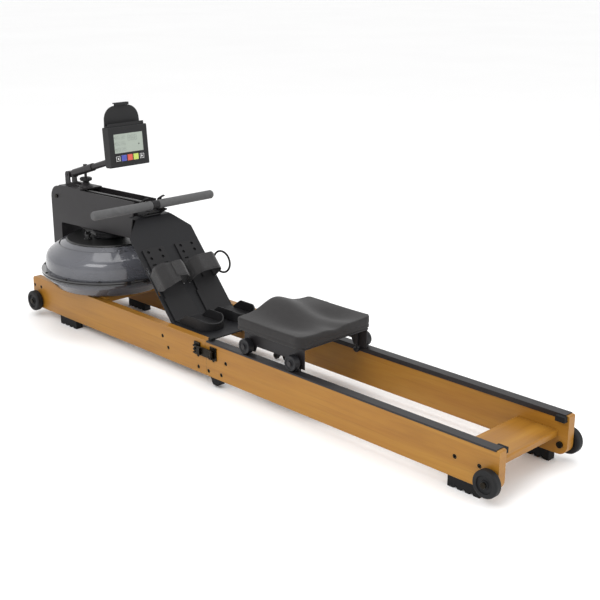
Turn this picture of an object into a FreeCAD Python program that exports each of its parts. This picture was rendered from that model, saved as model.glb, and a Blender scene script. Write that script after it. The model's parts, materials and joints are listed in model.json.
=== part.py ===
import FreeCAD, Part
import math
import os
import Sketcher
from FreeCAD import Placement, Rotation, Vector

# A folding wooden water rower: two pairs of timber rails hinged in the middle, a water tank and a
# strap tower on the front half, a rolling seat on the rear half.
# Frame: origin on the floor under the middle of the machine, +X towards the seat end, +Z up, and the
# rower's left hand is on the -Y side.  Stations along the rails are measured from their front end.

DIMENSIONS = {
    # rails
    "front_x": -1041.5, "rail_length": 2100, "rail_height": 113, "rail_thickness": 26.5,
    "rail_bottom": 30, "half_width": 163.5, "fold_station": 1000, "fold_gap": 1,
    "rail_end_round": 12, "rail_heel_round": 28,
    # fold hinge
    "pivot_height": 18, "knuckle_radius": 11, "pivot_pin_radius": 5, "leaf_thickness": 4,
    "fit_gap": 0.05, "clear_gap": 0.3,
    # boards between the rails
    "board_width": 66, "rear_board_width": 130, "board_thickness": 20, "front_board_height": 100,
    "rear_board_height": 76, "rear_board_station": 2004, "board_edge_round": 5, "tank_board_spread": 120,
    # rolling parts that touch the floor
    "wheel_radius": 37, "wheel_width": 24, "wheel_height": 58, "front_axle": 31.5, "rear_axle": 2078,
    "axle_radius": 5, "wheel_offset": 4.2, "foot_length": 100, "front_foot": 172, "rear_foot": 1947,
    "foot_rib_radius": 6, "middle_foot": 1018, "middle_foot_length": 52, "middle_foot_lift": 8,
    # seat track
    "track_start": 1004, "track_end": 2090, "track_plate": 2, "track_inner_lip": 12,
    "track_outer_lip": 3, "end_stop_station": 2066, "end_stop_length": 29,
    # water tank
    "tank_station": 273, "tank_bottom": 147, "tank_radius": 229, "flange_radius": 247,
    "flange_height": 203, "flange_thickness": 5, "seal_thickness": 3, "tank_wall": 4,
    "shoulder_height": 268, "deck_radius": 181, "deck_height": 300, "neck_radius": 156,
    "neck_height": 311, "tank_base_radius": 200, "dome_round": 42, "cap_thickness": 6,
    "shaft_radius": 6, "drum_radius": 60, "drum_core": 50, "drum_height": 329.2, "drum_width": 17.6,
    "plug_radius": 9, "plug_station": 262, "plug_across": -86,
    # strap tower
    "tower_front": -27, "tower_rear": 493, "tower_slant": 29, "tower_half_width": 47,
    "tower_top_front": 465, "tower_top_rear": 479, "tower_low_front": 332, "tower_low_rear": 349,
    "tower_wall": 3, "post_depth": 46, "post_step": 13, "post_step_height": 222, "tower_round": 48,
    "pulley_radius": 27, "pulley_width": 26, "pulley_station": 11, "strap_height": 472,
    "strap_width": 14.5, "strap_thickness": 1.6, "strap_roller_radius": 12,
    "strap_roller_station": 470, "strap_fall": 2.1,
    # handle
    "handle_station": 546, "handle_height": 472, "grip_radius": 15, "grip_bore": 11,
    "handle_half_length": 248, "grip_start": 14, "prong_spread": 34,
    # footboard
    "bend_station": 534.5, "bend_height": 432, "foot_angle": 49, "foot_run": 385,
    "sheet_thickness": 4, "foot_half_width": 129, "neck_half_width": 71, "shoulder_run": 62,
    "tray_end": 997, "foot_centre": 67, "foot_plate_width": 98, "foot_plate_top": 118,
    "foot_plate_thickness": 5, "foot_plate_waist": 300, "heel_knob_run": 208, "cup_station": 897,
    "cup_start": 812, "cup_wall": 4, "cup_height": 36, "peg_hole_radius": 5.5, "peg_hole_across": 23.5,
    "strap_foot_run": 232, "strap_foot_width": 62, "strap_pad_width": 104,
    "strap_foot_height": 70, "foot_travel": 48,
    # console and its arm
    "elbow_station": 40, "elbow_height": 506, "arm_angle": 17.2, "arm_length": 343,
    "stay_station": 138,
    "arm_radius": 11, "sleeve_radius": 14, "sleeve_length": 150, "screen_tilt": 4.5,
    "case_width": 158, "case_height": 136, "case_depth": 34, "case_wall": 3, "lcd_width": 118,
    "lcd_height": 64, "button_size": 20, "button_pitch": 24.5,
    # seat
    "seat_front": 1131, "seat_length": 271, "seat_half_width": 152, "seat_bottom": 211,
    "seat_edge": 250, "roller_radius": 23, "roller_width": 22, "front_roller": 1173,
    "rear_roller": 1370, "guide_roller": 1365, "guide_radius": 10, "guide_gap": 1.2,
    # latches and bolts
    "latch_height": 109.5, "latch_catch": 960, "latch_pivot": 1035, "bolt_head": 6.5,
    "bolt_shank": 4,
}

doc = FreeCAD.newDocument("rowing_machine")
sheet = doc.addObject("Spreadsheet::Sheet", "dims")
for row, (word, number) in enumerate(DIMENSIONS.items(), start=1):
    sheet.set(f"A{row}", word)
    sheet.set(f"B{row}", str(number))
    sheet.setAlias(f"B{row}", word)
doc.recompute()


class Size:
    """A length worked out from the sheet: its value, and the expression that keeps it bound."""

    def __init__(self, value, text):
        self.value = value
        self.text = text

    def join(self, other, sign, value):
        return Size(value, f"({self.text} {sign} {size(other).text})")

    def __add__(self, other):
        return self.join(other, "+", self.value + size(other).value)

    def __sub__(self, other):
        return self.join(other, "-", self.value - size(other).value)

    def __mul__(self, other):
        return self.join(other, "*", self.value * size(other).value)

    def __truediv__(self, other):
        return self.join(other, "/", self.value / size(other).value)

    def __radd__(self, other):
        return size(other) + self

    def __rsub__(self, other):
        return size(other) - self

    def __rmul__(self, other):
        return size(other) * self

    def __neg__(self):
        return size(0) - self


def size(item):
    """A Size for a plain number, or the Size itself."""
    return item if isinstance(item, Size) else Size(float(item), f"({item})")


class Sheet:
    """dim.word is the Size of the sheet's cell with that alias."""

    def __getattr__(self, word):
        return Size(float(DIMENSIONS[word]), f"dims.{word}")


dim = Sheet()


def sine(angle):
    return Size(math.sin(math.radians(angle.value)), f"sin({angle.text} * 1 deg)")


def cosine(angle):
    return Size(math.cos(math.radians(angle.value)), f"cos({angle.text} * 1 deg)")


def bind(item, prop, value):
    item.setExpression(prop, size(value).text)


def at(station):
    """A place along the machine from its distance behind the rails' front end."""
    return dim.front_x + station


# ---------------------------------------------------------------- building helpers

def place(item, position, rotation=Rotation()):
    values = [size(part) for part in position]
    item.Placement = Placement(Vector(*[part.value for part in values]), rotation)
    for letter, part in zip("xyz", values):
        bind(item, f"Placement.Base.{letter}", part)
    return item


def box(x, y, z):
    """A box from its (low, high) pairs."""
    item = doc.addObject("Part::Box", "Box")
    for prop, (low, high) in zip(("Length", "Width", "Height"), (x, y, z)):
        bind(item, prop, size(high) - low)
    return place(item, (x[0], y[0], z[0]))


def cylinder(radius, length, position, direction=(0, 0, 1)):
    item = doc.addObject("Part::Cylinder", "Cylinder")
    bind(item, "Radius", radius)
    bind(item, "Height", length)
    return place(item, position, Rotation(Vector(0, 0, 1), Vector(*direction)))


def fuse(*items, label=None):
    item = doc.addObject("Part::MultiFuse", "Fuse")
    item.Shapes = list(items)
    item.Refine = True
    return named(item, label)


def cut(base, *tools, label=None):
    item = doc.addObject("Part::Cut", "Cut")
    item.Base = base
    item.Tool = tools[0] if len(tools) == 1 else fuse(*tools)
    item.Refine = True
    return named(item, label)


def group(*items, label=None):
    """Separate solids that share one node."""
    item = doc.addObject("Part::Compound", "Group")
    item.Links = list(items)
    return named(item, label)


SUBPARTS = []


def named(item, label):
    if label:
        item.Label = label
        SUBPARTS.append(item)
    return item


def outward(side, low, high):
    """The (low, high) pair across the machine of something between two distances from the middle."""
    if side > 0:
        return low, high
    return -size(high), -size(low)


def sketch(body, plane, corners):
    """A closed outline of straight lines whose every corner is held by the sheet."""
    item = body.newObject("Sketcher::SketchObject", "Outline")
    support = [part for part in body.Origin.OriginFeatures if part.Role == plane]
    item.AttachmentSupport = [(support[0], "")]
    item.MapMode = "FlatFace"
    points = [(size(across), size(up)) for across, up in corners]
    count = len(points)
    for index, (across, up) in enumerate(points):
        after = points[(index + 1) % count]
        item.addGeometry(Part.LineSegment(Vector(across.value, up.value, 0),
                                          Vector(after[0].value, after[1].value, 0)))
    for index in range(count):
        item.addConstraint(Sketcher.Constraint("Coincident", index, 2, (index + 1) % count, 1))
    for index, point in enumerate(points):
        for kind, part in zip(("DistanceX", "DistanceY"), point):
            held = item.addConstraint(Sketcher.Constraint(kind, -1, 1, index, 1, part.value))
            bind(item, f"Constraints[{held}]", part)
    return item


def slab(plane, corners, thickness, position=(0, 0, 0), rounds=(), rotation=Rotation(), label=None):
    """A plate of any outline, centred on its plane; rounds are (corner number, radius)."""
    body = doc.addObject("PartDesign::Body", "Body")
    pad = body.newObject("PartDesign::Pad", "Pad")
    pad.Profile = sketch(body, plane, corners)
    pad.SideType = "Symmetric"
    bind(pad, "Length", thickness)
    body.Tip = pad
    for corner, radius in rounds:
        across, up = [size(part).value for part in corners[corner]]
        round_edges(body, lambda edge: runs_through(edge, plane, across, up), radius)
    place(body, position, rotation)
    return named(body, label)


def runs_through(edge, plane, across, up):
    """True for the edge that crosses the plane at this corner."""
    first, last = edge.Vertexes[0].Point, edge.Vertexes[-1].Point
    keep = {"XZ_Plane": (0, 2), "YZ_Plane": (1, 2), "XY_Plane": (0, 1)}[plane]
    return all(abs(point[keep[0]] - across) < 0.01 and abs(point[keep[1]] - up) < 0.01
               for point in (first, last))


def round_edges(body, wanted, radius):
    doc.recompute()
    base = body.Tip
    names = [f"Edge{number}" for number, edge in enumerate(base.Shape.Edges, start=1)
             if wanted(edge)]
    fillet = body.newObject("PartDesign::Fillet", "Fillet")
    fillet.Base = (base, names)
    bind(fillet, "Radius", radius)
    body.Tip = fillet


def turned(profile, position=(0, 0, 0), direction=(0, 0, 1), rounds=(), label=None):
    """A solid of revolution: profile is (radius, height) pairs, and rounds name some of them."""
    body = doc.addObject("PartDesign::Body", "Body")
    spin = body.newObject("PartDesign::Revolution", "Revolution")
    outline = sketch(body, "XZ_Plane", profile)
    spin.Profile = outline
    spin.ReferenceAxis = (outline, ["V_Axis"])
    spin.Angle = 360
    body.Tip = spin
    for corner, radius in rounds:
        across, up = [size(part).value for part in profile[corner]]
        round_edges(body, lambda edge: is_ring(edge, across, up), radius)
    place(body, position, Rotation(Vector(0, 0, 1), Vector(*direction)))
    return named(body, label)


def is_ring(edge, radius, height):
    curve = edge.Curve
    return (isinstance(curve, Part.Circle) and abs(curve.Radius - radius) < 0.01
            and abs(curve.Center.z - height) < 0.01)


def made(shape, label):
    """A shape that neither features nor primitives describe well."""
    item = doc.addObject("Part::Feature", "Feature")
    item.Shape = shape
    return named(item, label)


SIDES = {"left": -1, "right": 1}
RAIL_INSIDE = dim.half_width - dim.rail_thickness
RAIL_MIDDLE = dim.half_width - dim.rail_thickness / 2
RAIL_TOP = dim.rail_bottom + dim.rail_height

# ---------------------------------------------------------------- bolts

# Head places on the rails' outer faces: (station, height)
FRONT_BOLTS = ((9.5, 110), (51.5, 110), (780, 104.6), (808.5, 71), (961, 48), (960, 87))
REAR_BOLTS = ((1010, 47), (1070, 49), (1092, 92), (1034, 88), (1966, 86), (2042, 86))
HEAD_DEPTH = 5


def rail_bolt(side, station, height):
    """A socket head bolt sunk in the rail's outer face, through the rail."""
    face = dim.half_width * side
    head = cylinder(dim.bolt_head, HEAD_DEPTH, (at(station), face - side, height), (0, -side, 0))
    shank = cylinder(dim.bolt_shank, dim.rail_thickness - 3, (at(station), face - side, height),
                     (0, -side, 0))
    socket = cylinder(dim.bolt_head / 2, HEAD_DEPTH, (at(station), face + side, height),
                      (0, -side, 0))
    return cut(fuse(head, shank), socket)


def bolt_hole(side, station, height):
    face = dim.half_width * side
    gap = dim.fit_gap
    head = cylinder(dim.bolt_head + gap, HEAD_DEPTH + 1, (at(station), face, height), (0, -side, 0))
    shank = cylinder(dim.bolt_shank + gap, dim.rail_thickness, (at(station), face, height),
                     (0, -side, 0))
    return fuse(head, shank)


def axle_bolt(side, station):
    """The shoulder bolt that a transport wheel turns on, with its nut on the rail's inner face."""
    inner = RAIL_INSIDE * side
    length = dim.rail_thickness + dim.wheel_offset + dim.wheel_width + 1
    where = (at(station), inner, dim.wheel_height)
    shank = cylinder(dim.axle_radius, length, where, (0, side, 0))
    head = cylinder(dim.axle_radius + 3, 4, (at(station), inner + length * side, dim.wheel_height),
                    (0, side, 0))
    nut = cylinder(dim.axle_radius + 4, 6, where, (0, -side, 0))
    return fuse(shank, head, nut)


def axle_hole(side, station):
    return cylinder(dim.axle_radius + dim.fit_gap, dim.rail_thickness,
                    (at(station), RAIL_INSIDE * side, dim.wheel_height), (0, side, 0))


def pivot_pins():
    """The two pins of the fold hinge, each through a front leaf and a rear leaf."""
    length = dim.leaf_thickness * 2 + 4
    return [cylinder(dim.pivot_pin_radius, length,
                     (at(dim.fold_station), (RAIL_INSIDE - length + 2) * side, dim.pivot_height),
                     (0, side, 0)) for side in SIDES.values()]


# ---------------------------------------------------------------- rails, boards, feet, track

def front_rail(name, side):
    low, high = dim.rail_bottom, RAIL_TOP
    end = dim.fold_station - dim.fold_gap / 2
    blank = slab("XZ_Plane", [(0, low), (end, low), (end, high), (0, high)], dim.rail_thickness,
                 (dim.front_x, RAIL_MIDDLE * side, 0),
                 rounds=((0, dim.rail_end_round), (3, dim.rail_end_round)))
    holes = [bolt_hole(side, *bolt) for bolt in FRONT_BOLTS]
    cut(blank, *holes, axle_hole(side, dim.front_axle), label=f"{name}_front_rail")


def rear_rail(name, side):
    low, high = dim.rail_bottom, RAIL_TOP
    start = dim.fold_station + dim.fold_gap / 2
    blank = slab("XZ_Plane", [(start, low), (dim.rail_length, low), (dim.rail_length, high),
                              (start, high)], dim.rail_thickness,
                 (dim.front_x, RAIL_MIDDLE * side, 0),
                 rounds=((1, dim.rail_heel_round), (2, 4)))
    holes = [bolt_hole(side, *bolt) for bolt in REAR_BOLTS]
    cut(blank, *holes, axle_hole(side, dim.rear_axle), label=f"{name}_rear_rail")


def board(centre, low, width, label=None):
    """A timber board from rail to rail, with all four long edges eased."""
    half, top = width / 2, low + dim.board_thickness
    return slab("XZ_Plane", [(centre - half, low), (centre + half, low), (centre + half, top),
                             (centre - half, top)], RAIL_INSIDE * 2, (dim.front_x, 0, 0),
                rounds=[(corner, dim.board_edge_round) for corner in range(4)], label=label)


def boards():
    tank_low = dim.tank_bottom - dim.board_thickness
    width = dim.board_width
    group(board(width / 2 - 2, dim.front_board_height, width),
          board(dim.tank_station - dim.tank_board_spread, tank_low, width),
          board(dim.tank_station + dim.tank_board_spread, tank_low, width), label="front_crossbars")
    board(dim.rear_board_station, dim.rear_board_height, dim.rear_board_width, label="rear_crossbar")


def rubber_foot(side, start):
    """A foot block whose underside is cut into ribs."""
    blank = box((at(start), at(start + dim.foot_length)),
                outward(side, RAIL_INSIDE, dim.half_width), (0, dim.rail_bottom))
    grooves = [cylinder(dim.foot_rib_radius, dim.rail_thickness + 2,
                        (at(start + dim.foot_length * part / 4), (RAIL_INSIDE - 1) * side, 0),
                        (0, side, 0)) for part in (1, 2, 3)]
    return cut(blank, *grooves)


def middle_foot(side):
    """The wedge foot under the fold, on the rear rails, just clear of the floor."""
    start, end = dim.middle_foot, dim.middle_foot + dim.middle_foot_length
    low = dim.middle_foot_lift
    corners = [(start, dim.rail_bottom), (start + 12, low), (start + 34, low), (end, dim.rail_bottom)]
    return slab("XZ_Plane", corners, dim.rail_thickness, (dim.front_x, RAIL_MIDDLE * side, 0),
                rounds=((1, 6), (2, 6)))


def feet():
    group(*[rubber_foot(side, dim.front_foot) for side in SIDES.values()], label="front_feet")
    rear = [rubber_foot(side, dim.rear_foot) for side in SIDES.values()]
    group(*rear, *[middle_foot(side) for side in SIDES.values()], label="rear_feet")


def track(side):
    """The steel cap on a rear rail, with a long inner lip and a short outer lip."""
    top, plate = RAIL_TOP + dim.track_plate, dim.track_plate
    inner, outer = RAIL_INSIDE, dim.half_width
    corners = [(inner - plate, RAIL_TOP - dim.track_inner_lip), (inner, RAIL_TOP - dim.track_inner_lip),
               (inner, RAIL_TOP), (outer, RAIL_TOP), (outer, RAIL_TOP - dim.track_outer_lip),
               (outer + plate, RAIL_TOP - dim.track_outer_lip), (outer + plate, top),
               (inner - plate, top)]
    corners = [(across * side, up) for across, up in corners]
    length = dim.track_end - dim.track_start
    return slab("YZ_Plane", corners, length, (at(dim.track_start + length / 2), 0, 0),
                rounds=((6, 1.2), (7, 1.2)))


def end_stop(side):
    """A rubber block on the rail's inner face that the seat's guide roller meets."""
    lip = RAIL_TOP - dim.track_inner_lip - 0.2
    along = (at(dim.end_stop_station), at(dim.end_stop_station + dim.end_stop_length))
    reach = RAIL_INSIDE - 15
    lower = box(along, outward(side, reach, RAIL_INSIDE), (lip - 4, lip))
    upper = box(along, outward(side, reach, RAIL_INSIDE - dim.track_plate - 0.2), (lip, RAIL_TOP - 1))
    return fuse(lower, upper)


def front_bumper(side):
    """A low rubber block on the track's front end that the seat's front roller meets."""
    top = RAIL_TOP + dim.track_plate
    return box((at(dim.track_start + 2), at(dim.track_start + 16)),
               outward(side, RAIL_MIDDLE - 8, RAIL_MIDDLE + 8), (top, top + 8))


# ---------------------------------------------------------------- fold hinge and latches

def front_leaf(side):
    """The hinge leaf on a front rail's inner face, with its knuckle under the rail."""
    fold, low = dim.fold_station, dim.rail_bottom + 4
    plate = slab("XZ_Plane", [(fold - 65, low), (fold - 26, low), (fold - 10, dim.pivot_height),
                              (fold, dim.pivot_height), (fold - 1, low), (fold - 1, RAIL_TOP - 30),
                              (fold - 65, RAIL_TOP - 30)], dim.leaf_thickness,
                 (dim.front_x, (RAIL_INSIDE - dim.leaf_thickness / 2) * side, 0),
                 rounds=((0, 6), (6, 6)))
    knuckle = cylinder(dim.knuckle_radius, dim.leaf_thickness,
                       (at(fold), (RAIL_INSIDE - dim.leaf_thickness) * side, dim.pivot_height),
                       (0, side, 0))
    hole = cylinder(dim.pivot_pin_radius + dim.fit_gap, dim.leaf_thickness + 2,
                    (at(fold), (RAIL_INSIDE - dim.leaf_thickness - 1) * side, dim.pivot_height),
                    (0, side, 0))
    return cut(fuse(plate, knuckle), hole)


def rear_leaf(side):
    """The leaf on a rear rail; its lug stands inboard of the front leaf's knuckle."""
    fold, low = dim.fold_station, dim.rail_bottom + 4
    inner = RAIL_INSIDE - dim.leaf_thickness - dim.clear_gap
    plate = box((at(fold + 1), at(fold + 105)), outward(side, inner, RAIL_INSIDE),
                (low, RAIL_TOP - 30))
    lug_middle = (inner - dim.leaf_thickness / 2) * side
    lug = slab("XZ_Plane", [(fold, dim.pivot_height), (fold + 10, dim.pivot_height - 4),
                            (fold + 36, low), (fold + 36, 62), (fold + 2, 62)],
               dim.leaf_thickness, (dim.front_x, lug_middle, 0))
    knuckle = cylinder(dim.knuckle_radius, dim.leaf_thickness,
                       (at(fold), (inner - dim.leaf_thickness) * side, dim.pivot_height),
                       (0, side, 0))
    hole = cylinder(dim.pivot_pin_radius + dim.fit_gap, dim.leaf_thickness + 2,
                    (at(fold), (inner - dim.leaf_thickness - 1) * side, dim.pivot_height),
                    (0, side, 0))
    return cut(fuse(plate, lug, knuckle), hole)


LATCH_PEG = 4
LATCH_PIN = 3


def latch_catch(side):
    """The block on the front rail whose peg the latch bar drops over."""
    station, height, face = dim.latch_catch, dim.latch_height, dim.half_width
    block = box((at(station - 13), at(station + 13)), outward(side, face, face + 5),
                (height - 20, height + 21))
    peg = cylinder(LATCH_PEG, 14, (at(station - 3), face * side, height), (0, side, 0))
    return fuse(block, peg)


def latch_base(side):
    """The ears on the rear rail that hold the latch bar's pin."""
    station, height, face = dim.latch_pivot, dim.latch_height, dim.half_width
    plate = box((at(station - 14), at(station + 16)), outward(side, face, face + 3),
                (height - 20, height + 21))
    ears = [box((at(station - 7), at(station + 7)), outward(side, face + 3, face + 15),
                (height + low, height + low + 4)) for low in (-15, 10)]
    pin = cylinder(LATCH_PIN, 29, (at(station), (face + 9) * side, height - 15))
    return fuse(plate, *ears, pin)


def latch_bar(name, side):
    """The swinging bar across the fold: a fork that drops round the peg, and a finger tab."""
    height, face, fork_end = dim.latch_height, dim.half_width, dim.latch_catch - 11
    low, high = height - 15, height + 12
    bar = box((at(fork_end), at(dim.latch_pivot)), outward(side, face + 6.5, face + 11.5), (low, high))
    hub = cylinder(5.5, 19, (at(dim.latch_pivot), (face + 9) * side, height - 10))
    tab = box((at(fork_end + 34), at(fork_end + 39)), outward(side, face + 11, face + 19),
              (low + 3, high - 3))
    bore = cylinder(LATCH_PIN + dim.fit_gap, 29, (at(dim.latch_pivot), (face + 9) * side, low - 2))
    relief = [box((at(dim.latch_pivot - 12), at(dim.latch_pivot + 7)), outward(side, face + 3, face + 16),
                  span) for span in ((low - 1, height - 10), (height + 9, high + 1))]
    mouth = box((at(fork_end - 1), at(dim.latch_catch + 4)), outward(side, face + 5, face + 13),
                (height - 11, height + 7))
    cut(fuse(bar, hub, tab), bore, mouth, *relief, label=f"{name}_latch_bar")


def fold_parts():
    sides = SIDES.values()
    group(*[front_leaf(side) for side in sides], label="front_hinge_leaves")
    group(*[rear_leaf(side) for side in sides], label="rear_hinge_leaves")
    group(*[latch_catch(side) for side in sides], label="latch_catches")
    group(*[latch_base(side) for side in sides], label="latch_bases")


# ---------------------------------------------------------------- wheels

def wheel(end, name, side, station):
    """A transport wheel: rounded tread, sunk web and raised hub round a plain bore."""
    radius, half = dim.wheel_radius, dim.wheel_width / 2
    bore = dim.axle_radius + dim.fit_gap
    profile = [(bore, -half), (radius * 0.3, -half), (radius * 0.34, 4 - half),
               (radius * 0.62, 4 - half), (radius * 0.66, -half), (radius, -half), (radius, half),
               (radius * 0.66, half), (radius * 0.62, half - 4), (radius * 0.34, half - 4),
               (radius * 0.3, half), (bore, half)]
    middle = dim.half_width + dim.wheel_offset + half
    turned(profile, (at(station), middle * side, dim.wheel_height), (0, side, 0),
           rounds=((5, 6), (6, 6)), label=f"{end}_{name}_wheel")


# ---------------------------------------------------------------- water tank

def tank():
    centre = (at(dim.tank_station), 0, 0)
    wall, low = dim.tank_wall, dim.tank_bottom
    flange, middle = dim.flange_radius, dim.flange_height
    side, base = dim.tank_radius, dim.tank_base_radius
    turned([(0, low), (base, low), (side, 182), (side + 2, middle - dim.flange_thickness),
            (flange, middle - dim.flange_thickness), (flange, middle), (side - wall, middle),
            (side - wall, 184), (base - 2, low + wall), (0, low + wall)],
           centre, rounds=((1, 26), (2, 14), (7, 12), (8, 22)), label="tank_lower_shell")
    turned([(side - wall, middle), (flange - 1, middle), (flange - 1, middle + dim.seal_thickness),
            (side - wall, middle + dim.seal_thickness)], centre, label="tank_seal")
    upper = middle + dim.seal_thickness
    shell = turned([(side - wall, upper), (flange, upper), (flange, upper + dim.flange_thickness),
                    (side + 2, upper + dim.flange_thickness), (side, dim.shoulder_height),
                    (dim.deck_radius, dim.deck_height), (dim.deck_radius - 2, dim.deck_height - 3),
                    (dim.deck_radius - 6, dim.deck_height + 1), (dim.neck_radius, dim.neck_height),
                    (70, dim.neck_height), (70, dim.neck_height - wall),
                    (dim.neck_radius - 2, dim.neck_height - wall),
                    (dim.deck_radius - 2, dim.deck_height - 3 - wall),
                    (side - wall, dim.shoulder_height - 3)], centre,
                   rounds=((4, dim.dome_round), (13, dim.dome_round - wall)))
    fitting = box((at(424), at(446)), (-82, -64), (dim.neck_height - 16, dim.neck_height))
    cut(fuse(shell, fitting), plug_hole(), label="tank_upper_shell")
    shaft_hole = dim.shaft_radius + dim.fit_gap
    top = dim.neck_height + dim.cap_thickness
    cap = turned([(shaft_hole, dim.neck_height - 18), (30, dim.neck_height - 18),
                  (34, dim.neck_height), (dim.neck_radius - 2, dim.neck_height),
                  (dim.neck_radius - 2, top - 2), (dim.neck_radius - 5, top), (26, top),
                  (24, top + 2), (shaft_hole, top + 2)], centre)
    cut(cap, plug_hole(), label="tank_cap")


def plug_hole():
    """The fill hole, down through the cap and the shell's neck."""
    return cylinder(dim.plug_radius + dim.fit_gap, 50,
                    (at(dim.plug_station), dim.plug_across, dim.neck_height - 30))


def tank_plug():
    """The fill plug that stands on the cap beside the tower, with a ribbed collar and a grip."""
    radius, low = dim.plug_radius, dim.neck_height + dim.cap_thickness
    where = (at(dim.plug_station), dim.plug_across, 0)
    body = turned([(0, low - 28), (radius - 1.5, low - 28), (radius, low - 24), (radius, low + 0.3),
                   (radius + 5, low + 0.3), (radius + 5, low + 4), (radius, low + 5),
                   (radius - 1, low + 14), (radius + 2, low + 15), (radius + 2, low + 19),
                   (0, low + 19)], where)
    grip = box((where[0] - 2.5, where[0] + 2.5), (where[1] - 10, where[1] + 10), (low + 18, low + 26))
    fuse(body, grip, label="tank_plug")


def rotor():
    """The strap drum on the tank's shaft, and the paddle wheel that the shaft turns."""
    centre = (at(dim.tank_station), 0, 0)
    low, high = dim.drum_height - dim.drum_width / 2, dim.drum_height + dim.drum_width / 2
    shaft, drum = dim.shaft_radius, dim.drum_radius
    core = dim.drum_core
    turned([(0, 160), (shaft, 160), (shaft, low), (drum, low), (drum, low + 1), (core, low + 1.4),
            (core, high - 1.4), (drum, high - 1), (drum, high), (shaft, high), (shaft, high + 8),
            (0, high + 8)], centre, label="strap_drum")
    hub = turned([(shaft + 0.02, 168), (22, 168), (22, 214), (shaft + 0.02, 214)], centre)
    blades = []
    for number in range(6):
        angle = number * 60
        turn = Rotation(Vector(0, 0, 1), angle)
        blade = doc.addObject("Part::Box", "Blade")
        bind(blade, "Length", 168)
        bind(blade, "Width", 4)
        bind(blade, "Height", 66)
        offset = turn.multVec(Vector(18, -2, 0))
        place(blade, (centre[0] + offset.x, offset.y, 170), turn)
        blades.append(blade)
    fuse(hub, *blades, label="impeller")


# ---------------------------------------------------------------- strap tower

TOWER_AXLE = 4


def tower_top(station):
    """The height of the tower's sloping top edge."""
    rise = (dim.tower_top_rear - dim.tower_top_front) / (dim.tower_rear - dim.tower_front)
    return dim.tower_top_front + (station - dim.tower_front) * rise


def tower():
    """The folded steel channel over the tank, in one with the post that carries it."""
    front, waist = dim.tower_front, dim.tower_front + dim.post_depth
    back, step = waist + dim.post_step, dim.post_step_height
    rear, end = dim.tower_rear, dim.tower_rear - dim.tower_slant
    foot = dim.front_board_height + dim.board_thickness
    outline = [(front, foot), (waist, foot), (waist, step), (back, step + dim.post_step),
               (back, dim.tower_low_front), (end, dim.tower_low_rear), (rear, dim.tower_top_rear),
               (front, dim.tower_top_front)]
    blank = slab("XZ_Plane", outline, dim.tower_half_width * 2, (dim.front_x, 0, 0),
                 rounds=((7, dim.tower_round), (4, 8)))
    wall = dim.tower_wall
    inner = dim.tower_half_width - wall
    inside = (-inner, inner)
    channel = slab("XZ_Plane", [(back - 2, dim.tower_low_front + wall),
                                (rear + 10, dim.tower_low_rear + wall + 1),
                                (rear + 10, dim.tower_top_rear + 10),
                                (back - 2, dim.tower_top_rear + 10)], inner * 2, (dim.front_x, 0, 0))
    shaft = box((at(front + wall), at(waist - wall)), inside, (foot + 5, dim.tower_top_rear))
    chest = box((at(waist - wall - 1), at(back - wall)), inside,
                (step + dim.post_step + wall, dim.tower_top_rear))
    neck = box((at(back - wall - 1), at(back + 5)), inside,
               (dim.tower_low_front + wall + 4, dim.tower_top_rear))
    strap_way = box((at(back - wall - 2), at(back + 10)), (-15, 15),
                    (dim.drum_height - 10, dim.drum_height + 10))
    axles = []
    for station, height in ((dim.pulley_station, pulley_height()),
                            (dim.strap_roller_station, roller_height())):
        axles.append(cylinder(TOWER_AXLE + 0.02, dim.tower_half_width * 2 + 4,
                              (at(station), -(dim.tower_half_width + 2), height), (0, 1, 0)))
    flange = box((at(waist - 1), at(dim.board_width - 4)), (-40, 40), (foot, foot + 5))
    shaft_way = cylinder(dim.shaft_radius + dim.fit_gap, 14,
                         (at(dim.tank_station), 0, dim.tower_low_front + 6))
    cut(fuse(blank, flange), channel, shaft, chest, neck, strap_way, shaft_way, *axles,
        label="tower_frame")


def strap_reach(radius):
    """How far the strap's middle runs from the axis of a roller of this radius."""
    return radius + dim.clear_gap + dim.strap_thickness / 2


def pulley_height():
    """The front pulley's axis, from the strap's fall between the two rollers."""
    near, far = strap_reach(dim.strap_roller_radius), strap_reach(dim.pulley_radius)
    fall = sine(dim.strap_fall) / cosine(dim.strap_fall)
    run = dim.strap_roller_station - dim.pulley_station + (far - near) * sine(dim.strap_fall)
    return roller_height() - (far - near) * cosine(dim.strap_fall) - run * fall


def roller_height():
    return dim.strap_height - strap_reach(dim.strap_roller_radius)


def tower_axle(station, height):
    half = dim.tower_half_width
    pin = cylinder(TOWER_AXLE, half * 2 + 2, (at(station), -(half + 1), height), (0, 1, 0))
    heads = [cylinder(7, 4, (at(station), (half + 1) * side, height), (0, side, 0))
             for side in SIDES.values()]
    return fuse(pin, *heads)


def strap_wheel(radius, width, station, height, label):
    """A flanged roller that guides the pull strap."""
    half, bore, lip = width / 2, TOWER_AXLE + dim.fit_gap, radius + 3
    turned([(bore, -half), (lip, -half), (lip, 1.5 - half), (radius, 1.5 - half),
            (radius, half - 1.5), (lip, half - 1.5), (lip, half), (bore, half)],
           (at(station), 0, height), (0, 1, 0), label=label)


def strap_section(centre, across, through):
    """One rectangular cross section of the strap."""
    corners = [centre + across * wide + through * deep
               for wide, deep in ((-0.5, -0.5), (0.5, -0.5), (0.5, 0.5), (-0.5, 0.5), (-0.5, -0.5))]
    return Part.makePolygon(corners)


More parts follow.
